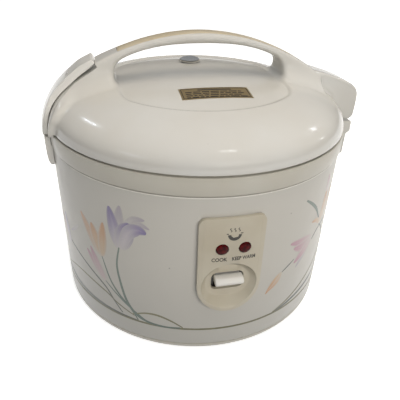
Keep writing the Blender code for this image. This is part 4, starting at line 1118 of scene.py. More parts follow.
@dataclass
class LidTrim:
    """Steam vent cap and foil label."""

    def build(self) -> None:
        """Make the vent cap with its stepped disc, and the label with its rules."""
        self.build_vent()
        self.build_label()

    def build_vent(self) -> None:
        """Stepped disc on a stem."""
        low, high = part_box("steam_vent_cap")
        r, y = high.x, (low.y + high.y) / 2
        seat = high.z - 1.6 * MM
        cap = lathe("vent_disc", offsets(0.0, high.z, (0.0, -0.5), (4.6, -0.5), (4.9, -0.1), (6.2, 0.0))
                    + offsets(r, seat, (-0.9, 0.9), (0.0, 0.3), (-0.2, 0.0))
                    + [(4 * MM, seat), (4 * MM, low.z), (0, low.z)], 64, False, (0, y))
        fit(cap, SHEET_METAL, "vent_cap", "aluminium", "steam_vent_cap")
        ring = lathe("vent_collar", offsets(0.0, 0.0, (7.2, 0.0), (9.6, 0.0), (9.4, 0.4), (7.4, 0.4)), 64)
        ring.data.transform(Matrix.Translation((0, y, seat - 1.0 * MM)))
        fit(ring, SILICONE, "lid", "silicone")

    def build_label(self) -> None:
        """Thin plate that follows the crown, with a dark border and plain rules in place of words."""
        low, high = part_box("label_plate")
        lid = Lid()
        plate = self.sheet("label_foil", (low.x, low.y), (high.x, high.y), 0.25 * MM, lid)
        fit(plate, FOIL, "lid", "foil_label", "label_plate")
        margin, line = 1.3 * MM, 0.45 * MM
        x0, y0, x1, y1 = low.x + margin, low.y + margin, high.x - margin, high.y - margin
        bars = [((x0, y0), (x1, y0 + line)), ((x0, y1 - line), (x1, y1)), ((x0, y0), (x0 + line, y1)),
                ((x1 - line, y0), (x1, y1))]
        rng = random.Random(5)
        top = high.y - 3.4 * MM
        centre = (low.x + high.x) / 2
        bars.append(((centre - 13 * MM, top - 1.5 * MM), (centre + 13 * MM, top)))
        for row in range(4):
            y = top - 3.6 * MM - row * 2.9 * MM
            x = low.x + 4 * MM
            while x < high.x - 7 * MM:
                width = rng.uniform(2.2, 6.5) * MM
                bars.append(((x, y - 1.1 * MM), (min(x + width, high.x - 4 * MM), y)))
                x += width + 1.2 * MM
        marks = [self.sheet("mark", a, b, 0.34 * MM, lid) for a, b in bars]
        fit(join_all("label_rules", marks), DARK_INK, "lid", "foil_label")

    @staticmethod
    def sheet(name: str, low: Point2, high: Point2, lift: float, lid: Lid) -> bpy.types.Object:
        """A thin patch on the recessed crown.

        Args:
            name: Name of the new object.
            low: Lowest X and Y.
            high: Highest X and Y.
            lift: Height of its top above the plateau.
            lid: The lid that it lies on.

        Returns:
            The new object.
        """
        deselect()
        across = max(2, int((high[0] - low[0]) / (3 * MM)))
        bpy.ops.mesh.primitive_grid_add(x_subdivisions=across, y_subdivisions=3, size=1.0)
        obj = bpy.context.object
        obj.name = name
        for vertex in obj.data.vertices:
            x = low[0] + (vertex.co.x + 0.5) * (high[0] - low[0])
            y = low[1] + (vertex.co.y + 0.5) * (high[1] - low[1])
            vertex.co = (x, y, RIM + lid.crown(math.hypot(x, y)) - lid.plateau_drop + lift)
        return modify(obj, "SOLIDIFY", thickness=0.2 * MM, offset=-1.0)


def join_all(name: str, parts: Sequence[bpy.types.Object]) -> bpy.types.Object:
    """Join several meshes into one object.

    Args:
        name: Name of the joined object.
        parts: The objects.

    Returns:
        The joined object.
    """
    deselect()
    for part in parts:
        part.select_set(True)
    bpy.context.view_layer.objects.active = parts[0]
    bpy.ops.object.join()
    parts[0].name = name
    return parts[0]


# ---------------------------------------------------------------- body

@dataclass
class Body:
    """Outer shell, ring, pan, hinge base and keeper."""

    shell_top: float = SHELL_HIGH.x
    shell_foot: float = PAN_HIGH.x + 0.2 * MM
    steel: float = 1.2 * MM
    seam: float = 0.7 * MM

    def shell_r(self, z: float) -> float:
        """Outer radius of the shell at a height."""
        share = (z - SHELL_LOW.z) / (SHELL_HIGH.z - SHELL_LOW.z)
        return self.shell_foot + (self.shell_top - self.shell_foot) * share

    def on_shell(self, degrees: float, below: float, lift: float) -> Vector:
        """Point on the shell at an angle from the front, so many metres below the rim plane."""
        z = RIM + below
        turn = math.radians(degrees)
        r = self.shell_r(z) + lift
        return Vector((r * math.sin(turn), -r * math.cos(turn), z))

    def fit_cutter(self, name: str) -> bpy.types.Object:
        """Ring and shell grown by a gap, to shape what sits against them."""
        gap = 0.3 * MM
        floor, foot, seam, top = PAN_LOW.z - 5 * MM, self.shell_foot + gap, SEAM_Z - gap, RIM + gap / 2
        return lathe(name, [(0, floor), (foot, floor), (foot, SHELL_LOW.z), (self.shell_top + gap, seam),
                            (RING_R + gap, seam), (RING_R + gap, top), (0, top)], 180, ring=False)

    def build(self) -> None:
        """Make the round parts and what is fixed to them."""
        self.build_shell()
        self.build_ring()
        self.build_pan()
        self.build_hinge_base()
        self.build_keeper()

    def build_shell(self) -> None:
        """Tapered tube with rolled edges and its two windows."""
        low, high = SHELL_LOW.z, SHELL_HIGH.z - self.seam
        foot, top = self.shell_foot, self.shell_top
        shell = lathe("shell_skin", offsets(foot, low, (-0.5, 0.0), (-0.1, 0.3), (0.0, 0.9))
                      + offsets(top, high, (0.0, -0.8), (-0.3, -0.1), (-0.8, 0.0))
                      + [(top - self.steel, high), (foot - self.steel, low)], 192)
        window = slab("window", Panel().outline(2.7 * MM), -RING_R - 10 * MM, -60 * MM)
        low_in, high_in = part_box("power_inlet")
        margin = 2.2 * MM
        inlet = box("inlet_window", (low_in.x + margin, 60 * MM, low_in.z + margin),
                    (high_in.x - margin, 150 * MM, high_in.z - margin))
        combine(shell, "DIFFERENCE", window, inlet)
        fit(shell, SHELL_PAINT, "body", "painted_shell", "outer_shell")
        # The pale band just under the ring is a painted highlight along the shell's rolled top edge; the olive
        # band is print.
        lines = (("olive_line", -138.4, 1.9, OLIVE_INK), ("seam_highlight_line", -15.8, 0.6, SEAM_HIGHLIGHT))
        for name, below, height, finish in lines:
            z = RIM + below * MM
            line = lathe(name, offsets(self.shell_r(z), z, (0.02, 0.0), (0.10, 0.1), (0.10, height - 0.1),
                                       (0.02, height)), 192)
            fit(line, finish, "body", "painted_shell")

    def build_ring(self) -> None:
        """Upper ring with a soft shoulder, gutter and pot ledge."""
        seam, top = SEAM_Z, RING_HIGH.z
        lip = self.shell_top - 1.8 * MM
        ledge = RIM - 5 * MM
        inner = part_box("inner_case")[1].x - 2.0 * MM
        pot_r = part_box("inner_pot")[1].x
        ring = lathe("ring_moulding", offsets(RING_R, seam, (-0.6, 0.0), (-0.1, 0.25), (0.0, 0.8))
                     + offsets(RING_R, top, (0.0, -0.9), (-0.3, -0.3), (-0.9, -0.05), (-1.6, 0.0), (-2.0, -0.4),
                               (-2.2, -2.0), (-5.4, -2.0), (-5.8, 0.0), (-11.0, 0.0), (-12.0, -0.5))
                     + offsets(pot_r, ledge, (2.2, 0.3), (1.4, 0.0))
                     + offsets(inner, ledge, (0.2, 0.0), (0.0, -0.8))
                     + offsets(inner, seam, (0.0, 2.0), (2.5, 2.0)) + offsets(inner, ledge, (2.5, -2.5))
                     + offsets(pot_r, ledge, (3.5, -2.5)) + offsets(RING_R, top, (-10.3, -3.6))
                     + offsets(lip, top, (-2.5, -3.6))
                     + offsets(lip, seam, (-2.5, -7.0), (0.0, -7.0), (0.0, 0.0)), 192)
        notch = box("notch", (-RING_R - MM, -6.5 * MM, RIM - 9.0 * MM), (-RING_R + 4.8 * MM, 6.5 * MM, RIM + MM))
        combine(ring, "DIFFERENCE", notch)
        fit(ring, CREAM, "body", "cream_plastic", "upper_ring")

    def build_pan(self) -> None:
        """Base pan with its rolled edge, vents and holes."""
        foot = PAN_HIGH.x
        lip = foot - 1.3 * MM
        edge = arc((foot - 5.6 * MM, SHELL_LOW.z - 1.2 * MM), 5.6 * MM, -84, 0, 8)
        edge = [(r, max(z, 0.0)) for r, z in edge]
        back, deep = lip - 2.5 * MM, 14 * MM
        pan = lathe("pan_moulding", [(0, 0), (foot - 9 * MM, 0)] + edge + [
            (foot, SHELL_LOW.z - 0.5 * MM), (lip, SHELL_LOW.z - 0.3 * MM), (lip, deep), (back, deep),
            (back, 3 * MM), (0, 3 * MM)], 144, ring=False)
        tools = []
        for x, y in around(3, 100 * MM, 90):
            combine(pan, "UNION", bar("post", 4.5 * MM, (x, y, 2 * MM), (x, y, 8.7 * MM)))
            tools += [bar("head_well", 3.7 * MM, (x, y, -MM), (x, y, 2.2 * MM)),
                      bar("shank", 1.9 * MM, (x, y, -MM), (x, y, 12 * MM))]
        tools += [bar("foot_hole", 2.8 * MM, (x, y, -MM), (x, y, 4 * MM)) for x, y in around(4, 95 * MM, 45)]
        for index in range(6):
            ends = arc((58.5 * MM, 0), 1.5 * MM, -90, 90, 8) + arc((39.5 * MM, 0), 1.5 * MM, 90, 270, 8)
            slot = slab("vent", ends, -MM, 4 * MM, Axis.Z)
            slot.data.transform(Matrix.Rotation(math.radians(60 * index + 30), 4, "Z"))
            tools.append(slot)
        combine(pan, "DIFFERENCE", *tools)
        fit(pan, CREAM, "body", "cream_plastic", "base_pan")

    def build_hinge_base(self) -> None:
        """Hinge base with the tongue that carries the pin."""
        cx, cz = Lid().pivot
        low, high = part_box("hinge_base")
        top = cz - 12.0 * MM
        half = high.y
        side = [(cx + 5.2 * MM, low.z)] + offsets(cx, cz, (5.4, -24.4), (9.0, -21.8)) + [(cx + 8.6 * MM, top)]
        base = slab("hinge_foot", side + [(117 * MM, top), (117 * MM, low.z)], -half, half, Axis.Y, 1.4 * MM, 4)
        eye = offsets(cx, top, (-3.9, -3.0), (3.9, -3.0)) + arc((cx, cz), 6.8 * MM, -55, 235, 30)
        tongue = slab("tongue", eye, -3.2 * MM, 5.1 * MM)
        combine(base, "UNION", tongue)
        combine(base, "DIFFERENCE", self.fit_cutter("fit"),
                bar("bore", 2.3 * MM, (cx, -20 * MM, cz), (cx, 20 * MM, cz)))
        fit(base, IVORY, "body", "ivory_plastic", "hinge_base")

    def build_keeper(self) -> None:
        """Keeper tab below the lever."""
        low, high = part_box("latch_keeper")
        front = offsets(low.x, low.z, (2.4, 0.0), (0.9, 3.0), (0.2, 9.0))
        front += offsets(low.x, high.z, (0.0, -1.5), (0.6, 0.0))
        side = curve_through(front, 3) + [(-112 * MM, high.z), (-112 * MM, low.z)]
        tab = slab("keeper_tab", side, low.y, high.y, Axis.Y, 1.8 * MM, 4)
        ReleaseLever().bend(tab)
        combine(tab, "DIFFERENCE", self.fit_cutter("fit"))
        fit(tab, PALE, "body", "ivory_plastic", "latch_keeper")


# ---------------------------------------------------------------- control panel

@dataclass
class Panel:
    """Control panel with a dish, lamps and switch."""

    half: float = (PANEL_HIGH.x - PANEL_LOW.x) / 2
    top: float = PANEL_HIGH.z
    corner: float = 6.0 * MM
    rounding: float = 1.5 * MM
    face: float = -PANEL_LOW.y
    dish_r: float = 21.0 * MM
    floor_r: float = 16.2 * MM
    dish_depth: float = 7.0 * MM
    dish_stretch: float = 1.1
    slot_half: float = 12.6 * MM

    @property
    def round_z(self) -> float:
        """Height of the dish's centre."""
        return PANEL_LOW.z + self.half

    @property
    def slot(self) -> Point2:
        """Heights of the slot's lower and upper side."""
        return self.round_z - 7.6 * MM, self.round_z + 8.2 * MM

    def outline(self, inset: float) -> list[Point2]:
        """Round-bottomed tablet outline."""
        half, top = self.half - inset, self.top - inset
        corner = self.corner - min(inset, 4 * MM)
        points = arc((0, self.round_z), half, 180, 360, 36)
        points += arc((half - corner, top - corner), corner, 0, 90, 8)
        return points + arc((-half + corner, top - corner), corner, 90, 180, 8)

    def front(self, x: float, lift: float) -> float:
        """Y of the curved face at an X, with a lift towards the viewer."""
        return -math.sqrt((self.face + lift) ** 2 - x * x)

    def build(self) -> None:
        """Make the plate, then the marks, the lamps and the switch."""
        self.build_plate()
        self.build_marks()
        self.build_lamps()
        self.build_switch()

    def build_plate(self) -> None:
        """Curved plate with a rounded border, the core behind it, the dish, the slot and the lamp holes."""
        shell_r = SHELL_HIGH.x + 0.3 * MM
        plate = slab("panel_moulding", self.outline(0.0), -self.face - 4 * MM, -100 * MM)
        foot = self.round_z - 40 * MM
        skin = lathe("skin", [(shell_r, foot), (self.face, foot), (self.face, RIM), (shell_r, RIM)], 240)
        combine(plate, "INTERSECT", skin)
        modify(plate, "BEVEL", width=self.rounding, segments=4, limit_method="ANGLE",
               angle_limit=math.radians(50))
        combine(plate, "UNION", slab("core", self.outline(3.0 * MM), -RING_R - 0.5 * MM, PANEL_HIGH.y))
        depth, ease = self.dish_depth, 1.2 * MM
        rim = offsets(self.dish_r, depth, (-0.8, -0.9), (-0.1, -0.15), (0.9, 0.3), (0.9, 6.0))
        dish = lathe("dish", [(0, 0), (self.floor_r - ease, 0), (self.floor_r + 0.3 * MM, ease * 0.8)] + rim
                     + [(0, depth + 6 * MM)], 96, ring=False)
        stretch = Matrix.Diagonal((self.dish_stretch, 1.0, 1.0, 1.0))
        facing = Matrix.Rotation(math.radians(90), 4, "X")
        dish.data.transform(Matrix.Translation((0, depth - self.face, self.round_z)) @ stretch @ facing)
        low, high = self.slot
        slot = slab("slot", rounded(-self.slot_half, low, self.slot_half, high, 4.5 * MM), -140 * MM, -80 * MM)
        combine(plate, "DIFFERENCE", dish, slot)
        for lens in LAMPS:
            x, _, z = middle(lens)
            combine(plate, "DIFFERENCE", bar("lamp_hole", 4.8 * MM, (x, -140 * MM, z), (x, -90 * MM, z)))
        fit(plate, PANEL, "body", "cream_plastic", "control_panel")

    def mark(self, points: Sequence[Point2]) -> bpy.types.Object:
        """A flat printed mark on the curved face.

        Args:
            points: Outline as (x, z) in metres.

        Returns:
            The new object.
        """
        obj = slab("mark", points, -0.06 * MM, 0.06 * MM)
        for vertex in obj.data.vertices:
            vertex.co.y += self.front(vertex.co.x, 0.0)
        return obj

    def word(self, text: str, x: float, z: float, width: float, height: float) -> bpy.types.Object:
        """A plain printed word on the curved face.

        Args:
            text: The word.
            x: Middle of the word.
            z: Foot of its letters.
            width: Width of the word.
            height: Height of its capitals.

        Returns:
            The new object.
        """
        deselect()
        bpy.ops.object.text_add()
        bpy.context.object.data.body = text
        bpy.context.object.data.offset = 0.022
        bpy.ops.object.convert(target="MESH")
        obj = bpy.context.object
        places = [vertex.co.copy() for vertex in obj.data.vertices]
        low = Vector((min(p.x for p in places), min(p.y for p in places)))
        high = Vector((max(p.x for p in places), max(p.y for p in places)))
        for vertex, place in zip(obj.data.vertices, places):
            across = x + ((place.x - low.x) / (high.x - low.x) - 0.5) * width
            up = z + (place.y - low.y) / (high.y - low.y) * height
            vertex.co = (across, self.front(across, 0.06 * MM), up)
        return modify(obj, "SOLIDIFY", thickness=0.08 * MM, offset=0.0)

    def build_marks(self) -> None:
        """A steaming-bowl pictogram and the two plain words for the lamps."""
        z = RIM - 43.6 * MM
        cook, warm = (middle(lens) for lens in LAMPS)
        x0 = (cook.x + warm.x) / 2
        rim = offsets(x0, z, (-6.0, 0.5), (6.0, 0.5), (6.0, 1.3), (-6.0, 1.3))
        marks = [self.mark(arc((x0, z), 5.0 * MM, 180, 360, 20)), self.mark(rim)]
        for x in (-3.0, 0.0, 3.0):
            wave = [(x + 0.55 * math.sin(i * 0.9), 2.4 + 0.45 * i) for i in range(8)]
            sides = [(a - 0.35, b) for a, b in wave] + [(a + 0.35, b) for a, b in wave[::-1]]
            marks.append(self.mark(offsets(x0, z, *sides)))
        foot = cook.z - 10.4 * MM
        marks += [self.word("COOK", cook.x - 1.6 * MM, foot, 11.4 * MM, 3.2 * MM),
                  self.word("KEEP WARM", warm.x - 0.2 * MM, foot, 17.6 * MM, 3.2 * MM)]
        fit(join_all("panel_marks", marks), DARK_INK, "body", "cream_plastic")

    def build_lamps(self) -> None:
        """Two domed lenses."""
        for lens in LAMPS:
            low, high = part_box(lens)
            r, length, swell = (high.x - low.x) / 2, high.y - low.y, 1.4 * MM
            turns = [math.radians(a) for a in range(0, 91, 10)]
            dome = [(r * math.sin(a), length - swell + swell * math.cos(a)) for a in turns]
            well = [(r, 0), (r - 1.2 * MM, 0), (r - 1.2 * MM, length - 2.6 * MM), (0, length - 2.2 * MM)]
            made = lathe(lens.replace("_lens", "_jewel"), dome + well, 48, ring=False)
            x, _, z = middle(lens)
            made.data.transform(Matrix.Translation((x, high.y, z)) @ Matrix.Rotation(math.radians(90), 4, "X"))
            fit(made, LENS, "body", "red_lens", lens)

    def build_switch(self) -> None:
        """Wide nose with a ridge between its top and front, on its arm."""
        low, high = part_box("cook_switch")
        _, py, pz = middle("switch_pin")
        y, back = low.y, low.y + 9 * MM
        tall, half = 5.6 * MM, 11.0 * MM
        bottom = high.z - tall
        lower = [(back, bottom)] + offsets(y, bottom, (2.0, 0.0), (0.3, 1.0), (0.0, 2.8))
        upper = offsets(y, bottom, (0.5, 3.9), (2.6, 5.3), (5.0, 5.6)) + [(back, bottom + tall)]
        side = curve_through(lower, 3) + curve_through(upper, 3)
        nose = slab("switch_nose", side, -half, half, Axis.X, 1.9 * MM, 5)
        combine(nose, "UNION", box("arm", (-10 * MM, back - MM, pz - 2 * MM), (10 * MM, py, pz + 2 * MM)),
                bar("boss", 3.55 * MM, (-10 * MM, py, pz), (10 * MM, py, pz)))
        combine(nose, "DIFFERENCE", bar("bore", 1.8 * MM, (-20 * MM, py, pz), (20 * MM, py, pz), 24))
        fit(nose, PALE, "cook_switch", "ivory_plastic", "cook_switch")


# ---------------------------------------------------------------- printed flowers

class Tint(Enum):
    """Inks of the print, from the pale heart of a petal to its strong tip."""

    LILAC = ("#BFB9BC", "#756A94")
    GHOST = ("#BCB9B4", "#A39BA4")
    PEACH = ("#BFB09C", "#B89070")
    APRICOT = ("#C0AA8E", "#B88A62")
    PINK = ("#BFB0AE", "#AD8292")
    STEM = ("#5B6C62", "#435850")
    OLIVE = ("#75724F", "#615E3F")
    DUSK = ("#5A605A", "#454B47")


@dataclass
class Flowers:
    """Two loose bunches of slim bell flowers, freely drawn, printed round the foot of the shell."""

    body: Body
    lift: float = 0.07 * MM
    ground: str = "#BDBAB3"

    def paint(self, obj: bpy.types.Object, tint: Tint, soft: float) -> bpy.types.Object:
        """Store a colour at each point: strong towards the tip, melting into the ground at the sides.

        Args:
            obj: A flat grid whose X and Y give the shares along and across.
            tint: The ink.
            soft: How far the sides melt away.

        Returns:
            The same object.
        """
        layer = obj.data.color_attributes.new("paint", "FLOAT_COLOR", "POINT")
        pale, strong, ground = linear(tint.value[0]), linear(tint.value[1]), linear(self.ground)
        for vertex, entry in zip(obj.data.vertices, layer.data):
            along, across = vertex.co.x + 0.5, abs(vertex.co.y) * 2
            body_mix = step01(along * 1.1 + (across - 0.5) * 0.35)
            fade = soft * step01((across - 0.45) / 0.55) + 0.55 * soft * step01((0.16 - along) / 0.16)
            fade = min(fade, 0.92)
            entry.color = [(p * (1 - body_mix) + s * body_mix) * (1 - fade) + g * fade
                           for p, s, g in zip(pale, strong, ground)]
        return obj

    def patch(self, spine: Sequence[Point2], width: Callable[[float], float], tint: Tint, soft: float,
              level: int, fine: int = 6) -> bpy.types.Object:
        """A strip along a smooth spine, wrapped on the shell.

        Args:
            spine: Points as (degrees from the front, millimetres from the rim plane).
            width: Full width in millimetres at each share of the length.
            tint: The ink.
            soft: How far the sides melt away.
            level: Layer number; higher lies on top.
            fine: Cells across.

        Returns:
            The new object.
        """
        line = curve_through(spine, 8)
        deselect()
        bpy.ops.mesh.primitive_grid_add(x_subdivisions=len(line) - 1, y_subdivisions=fine, size=1.0)
        obj = bpy.context.object
        self.paint(obj, tint, soft)
        per_degree = math.radians(1) * self.body.shell_top / MM
        last = len(line) - 1
        for vertex in obj.data.vertices:
            share = vertex.co.x + 0.5
            index = min(int(round(share * last)), last)
            a, b = line[max(index - 1, 0)], line[min(index + 1, last)]
            dx, dz = (b[0] - a[0]) * per_degree, b[1] - a[1]
            length = math.hypot(dx, dz) or 1.0
            offset = vertex.co.y * width(share)
            angle = line[index][0] - dz / length * offset / per_degree
            below = min(line[index][1] + dx / length * offset, -15.5)
            vertex.co = self.body.on_shell(angle, below * MM, self.lift + level * 0.012 * MM)
        return obj

    def petal(self, spine: Sequence[Point2], widest: float, tint: Tint, level: int,
              soft: float = 0.8) -> bpy.types.Object:
        """A leaf-shaped petal, pointed at its tip."""
        def width(share: float) -> float:
            """Width at a share of the length."""
            belly = math.sin(math.pi * min(share * 0.9 + 0.06, 1.0)) ** 0.8
            return 1.4 * widest * belly * (1 - 0.25 * share)

        return self.patch(spine, width, tint, soft, level)

    def stem(self, spine: Sequence[Point2], widest: float, tint: Tint, level: int = 0) -> bpy.types.Object:
        """A thin stroke that swells in its middle."""
        def width(share: float) -> float:
            """Width at a share of the length."""
            return 1.45 * widest * (0.5 + 0.5 * math.sin(math.pi * share))

        return self.patch(spine, width, tint, 0.1, level, 2)

    def left_bunch(self) -> list[bpy.types.Object]:
        """Lilac bell, peach bell, pink bud and the crossing stems."""
        return [
            self.petal([(-39.0, -60), (-38.6, -45), (-37.8, -30)], 8.0, Tint.GHOST, 0),
            self.petal([(-37.0, -48), (-33.0, -39), (-28.8, -37.5)], 5.0, Tint.GHOST, 0),
            self.petal([(-36.0, -52), (-31.5, -42), (-27.2, -44.5)], 4.0, Tint.GHOST, 0),
            self.petal([(-39.2, -68), (-40.6, -52), (-42.2, -33)], 9.0, Tint.LILAC, 1, 0.5),
            self.petal([(-38.6, -68), (-36.6, -54), (-34.6, -43)], 13.0, Tint.LILAC, 2, 0.55),
            self.petal([(-38.2, -68), (-35.2, -52), (-31.5, -47), (-28.4, -48.8)], 9.0, Tint.LILAC, 3, 0.5),
            self.petal([(-47.8, -83), (-52.0, -68), (-57.2, -50)], 8.5, Tint.PEACH, 1),
            self.petal([(-47.6, -83), (-50.2, -66), (-51.6, -55)], 8.0, Tint.APRICOT, 2),
            self.petal([(-47.4, -83), (-46.6, -66), (-45.6, -50)], 7.5, Tint.APRICOT, 3),
            self.petal([(-47.2, -107), (-51.5, -95), (-56.0, -84)], 6.0, Tint.PINK, 1),
            self.petal([(-47.0, -107), (-50.6, -93), (-53.5, -79)], 6.5, Tint.PINK, 2),
            self.stem([(-39.2, -67.5), (-40.7, -85), (-39.7, -102), (-37.5, -119), (-33.9, -130), (-29.5, -135),
                       (-23.0, -137.2), (-16.5, -136.6)], 1.7, Tint.STEM, 3),
            self.stem([(-47.6, -83), (-44.5, -103), (-40.6, -115.5), (-36.4, -124.6), (-33.0, -136)],
                      1.3, Tint.STEM, 2),
            self.stem([(-47.0, -107), (-41.6, -116.5), (-36.0, -125.5), (-30.0, -134)], 1.1, Tint.STEM, 1),
            self.stem([(-84, -80), (-72.3, -90), (-59.5, -99.5), (-48.0, -112.5), (-43.3, -124.8),
                       (-39.8, -134)], 1.2, Tint.DUSK, 1),
            self.stem([(-80, -128), (-68.4, -117), (-58.7, -114.5), (-47.7, -118.8), (-41.9, -125.5),
                       (-34.5, -132.5)], 1.2, Tint.OLIVE, 1),
            self.stem([(-90, -122), (-78, -129), (-66.5, -133.6), (-50.0, -135.8), (-33.2, -137.0)],
                      2.6, Tint.DUSK, 0),
            self.stem([(-35.5, -131.5), (-30.1, -126.6), (-25.3, -126.0), (-20.3, -129.7), (-15.7, -136.0)],
                      1.3, Tint.OLIVE, 2),
            self.petal([(-60, -66), (-64, -74), (-68, -80)], 3.0, Tint.GHOST, 0),
            self.petal([(-71.0, -98), (-75.0, -84), (-80.0, -72)], 8.0, Tint.PINK, 1),
            self.petal([(-71.0, -98), (-72.0, -82), (-73.0, -68)], 8.0, Tint.LILAC, 2),
        ]

    def right_bunch(self) -> list[bpy.types.Object]:
        """Pink bell lying over, long apricot bell, a bud and slim leaves."""
        return [
            self.stem([(30.2, -34), (34.7, -41), (38.8, -49.4), (42.8, -61.5)], 1.9, Tint.STEM, 1),
            self.petal([(44.0, -69), (46.4, -52), (46.2, -36)], 8.0, Tint.APRICOT, 1),
            self.petal([(44.2, -69), (50.0, -54), (53.0, -40)], 8.5, Tint.PEACH, 2),
            self.petal([(44.4, -68), (41.0, -62), (37.0, -60)], 4.0, Tint.APRICOT, 3),
            self.petal([(46.0, -40), (46.2, -31), (45.8, -24)], 5.0, Tint.PINK, 2),
            self.stem([(52.0, -70), (48.4, -71), (43.6, -73.5), (39.6, -79)], 1.3, Tint.DUSK, 2),
            self.stem([(62.0, -112), (55.0, -92), (48.4, -76), (44.0, -69)], 1.3, Tint.STEM, 0),
            self.petal([(38.6, -75), (33.0, -73.5), (25.0, -69.5)], 7.0, Tint.PINK, 1),
            self.petal([(38.4, -76), (33.6, -79), (27.4, -76)], 8.5, Tint.PINK, 2),
            self.petal([(38.4, -77), (34.4, -84), (29.0, -92)], 8.0, Tint.PINK, 3),
            self.petal([(38.0, -78), (35.0, -88), (30.5, -98)], 5.0, Tint.GHOST, 0),
            self.stem([(28.6, -87.4), (25.6, -91), (22.6, -94.8)], 0.9, Tint.DUSK, 4),
            self.petal([(22.6, -94.6), (19.4, -101.5), (16.0, -111.5)], 5.0, Tint.APRICOT, 1),
            self.petal([(22.4, -94.8), (20.6, -103.0), (16.6, -110.0)], 3.4, Tint.PEACH, 2),
            self.stem([(58, -96), (48.0, -112), (39.5, -121), (30.1, -129.5), (21.0, -136.4)],
                      1.6, Tint.OLIVE, 1),
            self.stem([(72, -110), (58.0, -122), (44.0, -128.5), (32.0, -133), (22.0, -136.6)],
                      2.2, Tint.DUSK, 0),
            self.stem([(76, -92), (66.0, -106), (58.0, -122)], 1.2, Tint.STEM, 1),
        ]

    def build(self) -> None:
        """Join each bunch into one printed piece."""
        bunches = (("flower_print_left", self.left_bunch()), ("flower_print_right", self.right_bunch()))
        for name, parts in bunches:
            bunch = join_all(name, parts)
            modify(bunch, "SOLIDIFY", thickness=0.03 * MM, offset=-1.0)
            fit(bunch, FLOWER_INK, "body", "painted_shell")


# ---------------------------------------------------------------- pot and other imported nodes

@dataclass
class Pot:
    """Spun aluminium pot with level marks."""

    def build(self) -> None:
        """Spin the pot and press its level lines."""
        low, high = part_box("inner_pot")
        r, wall, corner = 95 * MM, 1.5 * MM, 15 * MM
        flange, seat = high.x, high.z - 1.2 * MM
        centre = (r - corner, low.z + corner)
        outer = arc(centre, corner, -90, 0, 10)
        inner = arc(centre, corner - wall, 0, -90, 10)
        rim = (offsets(r, seat, (0.0, -1.6), (0.5, -0.4), (1.6, 0.0))
               + offsets(flange, seat, (-0.5, 0.0), (0.0, 0.6))
               + offsets(flange, high.z, (-0.5, 0.0)) + offsets(r, high.z, (1.2, 0.0), (-0.6, -0.7))
               + [(r - wall, high.z - 2.6 * MM)])
        marks = []
        for level in range(5, 0, -1):
            z = low.z + (14 + 12 * level) * MM
            marks += offsets(r - wall, z, (0.0, 0.5), (-0.25, 0.0), (0.0, -0.5))
        side = [(0, low.z)] + outer + rim + marks + inner + [(0, low.z + wall)]
        pot = lathe("pot_spinning", side, 160, ring=False)
        fit(pot, POT_METAL, "pot", "aluminium", "inner_pot")


CARRIED: dict[Finish, tuple[str, ...]] = {
    RUBBER: ("foot_1", "foot_2", "foot_3", "foot_4"),
    SPRING: ("base_screw_1", "base_screw_2", "base_screw_3", "hinge_pin", "hinge_spring", "heater_post_1",
             "heater_post_2", "heater_post_3", "sensor_spring", "trip_pin", "switch_pin", "lever_pin",
             "lever_spring", "push_link", "magnet_rod"),
    ZINC: ("inner_case", "support_frame", "sensor_housing", "lever_bracket", "trip_lever"),
    SHEET_METAL: ("side_heater_band", "thermal_fuse", "sensor_cap"),
    CAST_METAL: ("heater_plate",),
    PHENOLIC: ("switch_bracket", "micro_switch", "power_inlet"),
    BOARD: ("lamp_board",),
    BRASS: ("inlet_pin_1", "inlet_pin_2"),
    LINER: ("steam_tube",),
    FERRITE: ("lower_magnet", "sensor_ferrite"),
}


def dress_carried() -> None:
    """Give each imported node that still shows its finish."""
    for finish, names in CARRIED.items():
        for name in names:
            dress(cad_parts[name], finish)
            LOG.info("%s: carried over in %s", name, finish.name)


# ---------------------------------------------------------------- studio

@dataclass(frozen=True)
class SoftLight:
    """An area light aimed at the cooker; a broad one lights softly and a slim one leaves a glint."""

    name: str
    place: tuple[float, float, float]
    size: tuple[float, float]
    power: float
    colour: str
    along: tuple[float, float, float] = (0.0, 0.0, 1.0)
    glint: bool = True

    def build(self, target: Vector) -> None:
        """Add the light and aim it.

        Args:
            target: Point that the light faces.
        """
        data = bpy.data.lights.new(self.name, "AREA")
        data.shape = "RECTANGLE"
        data.size, data.size_y = self.size
        data.energy = self.power
        data.color = linear(self.colour)[:3]
        lamp = bpy.data.objects.new(self.name, data)
        bpy.context.scene.collection.objects.link(lamp)
        back = (Vector(self.place) - target).normalized()
        side = Vector(self.along).cross(back).normalized()
        turn = Matrix((side, back.cross(side), back)).transposed().to_4x4()
        lamp.matrix_world = Matrix.Translation(self.place) @ turn
        lamp.visible_glossy = self.glint


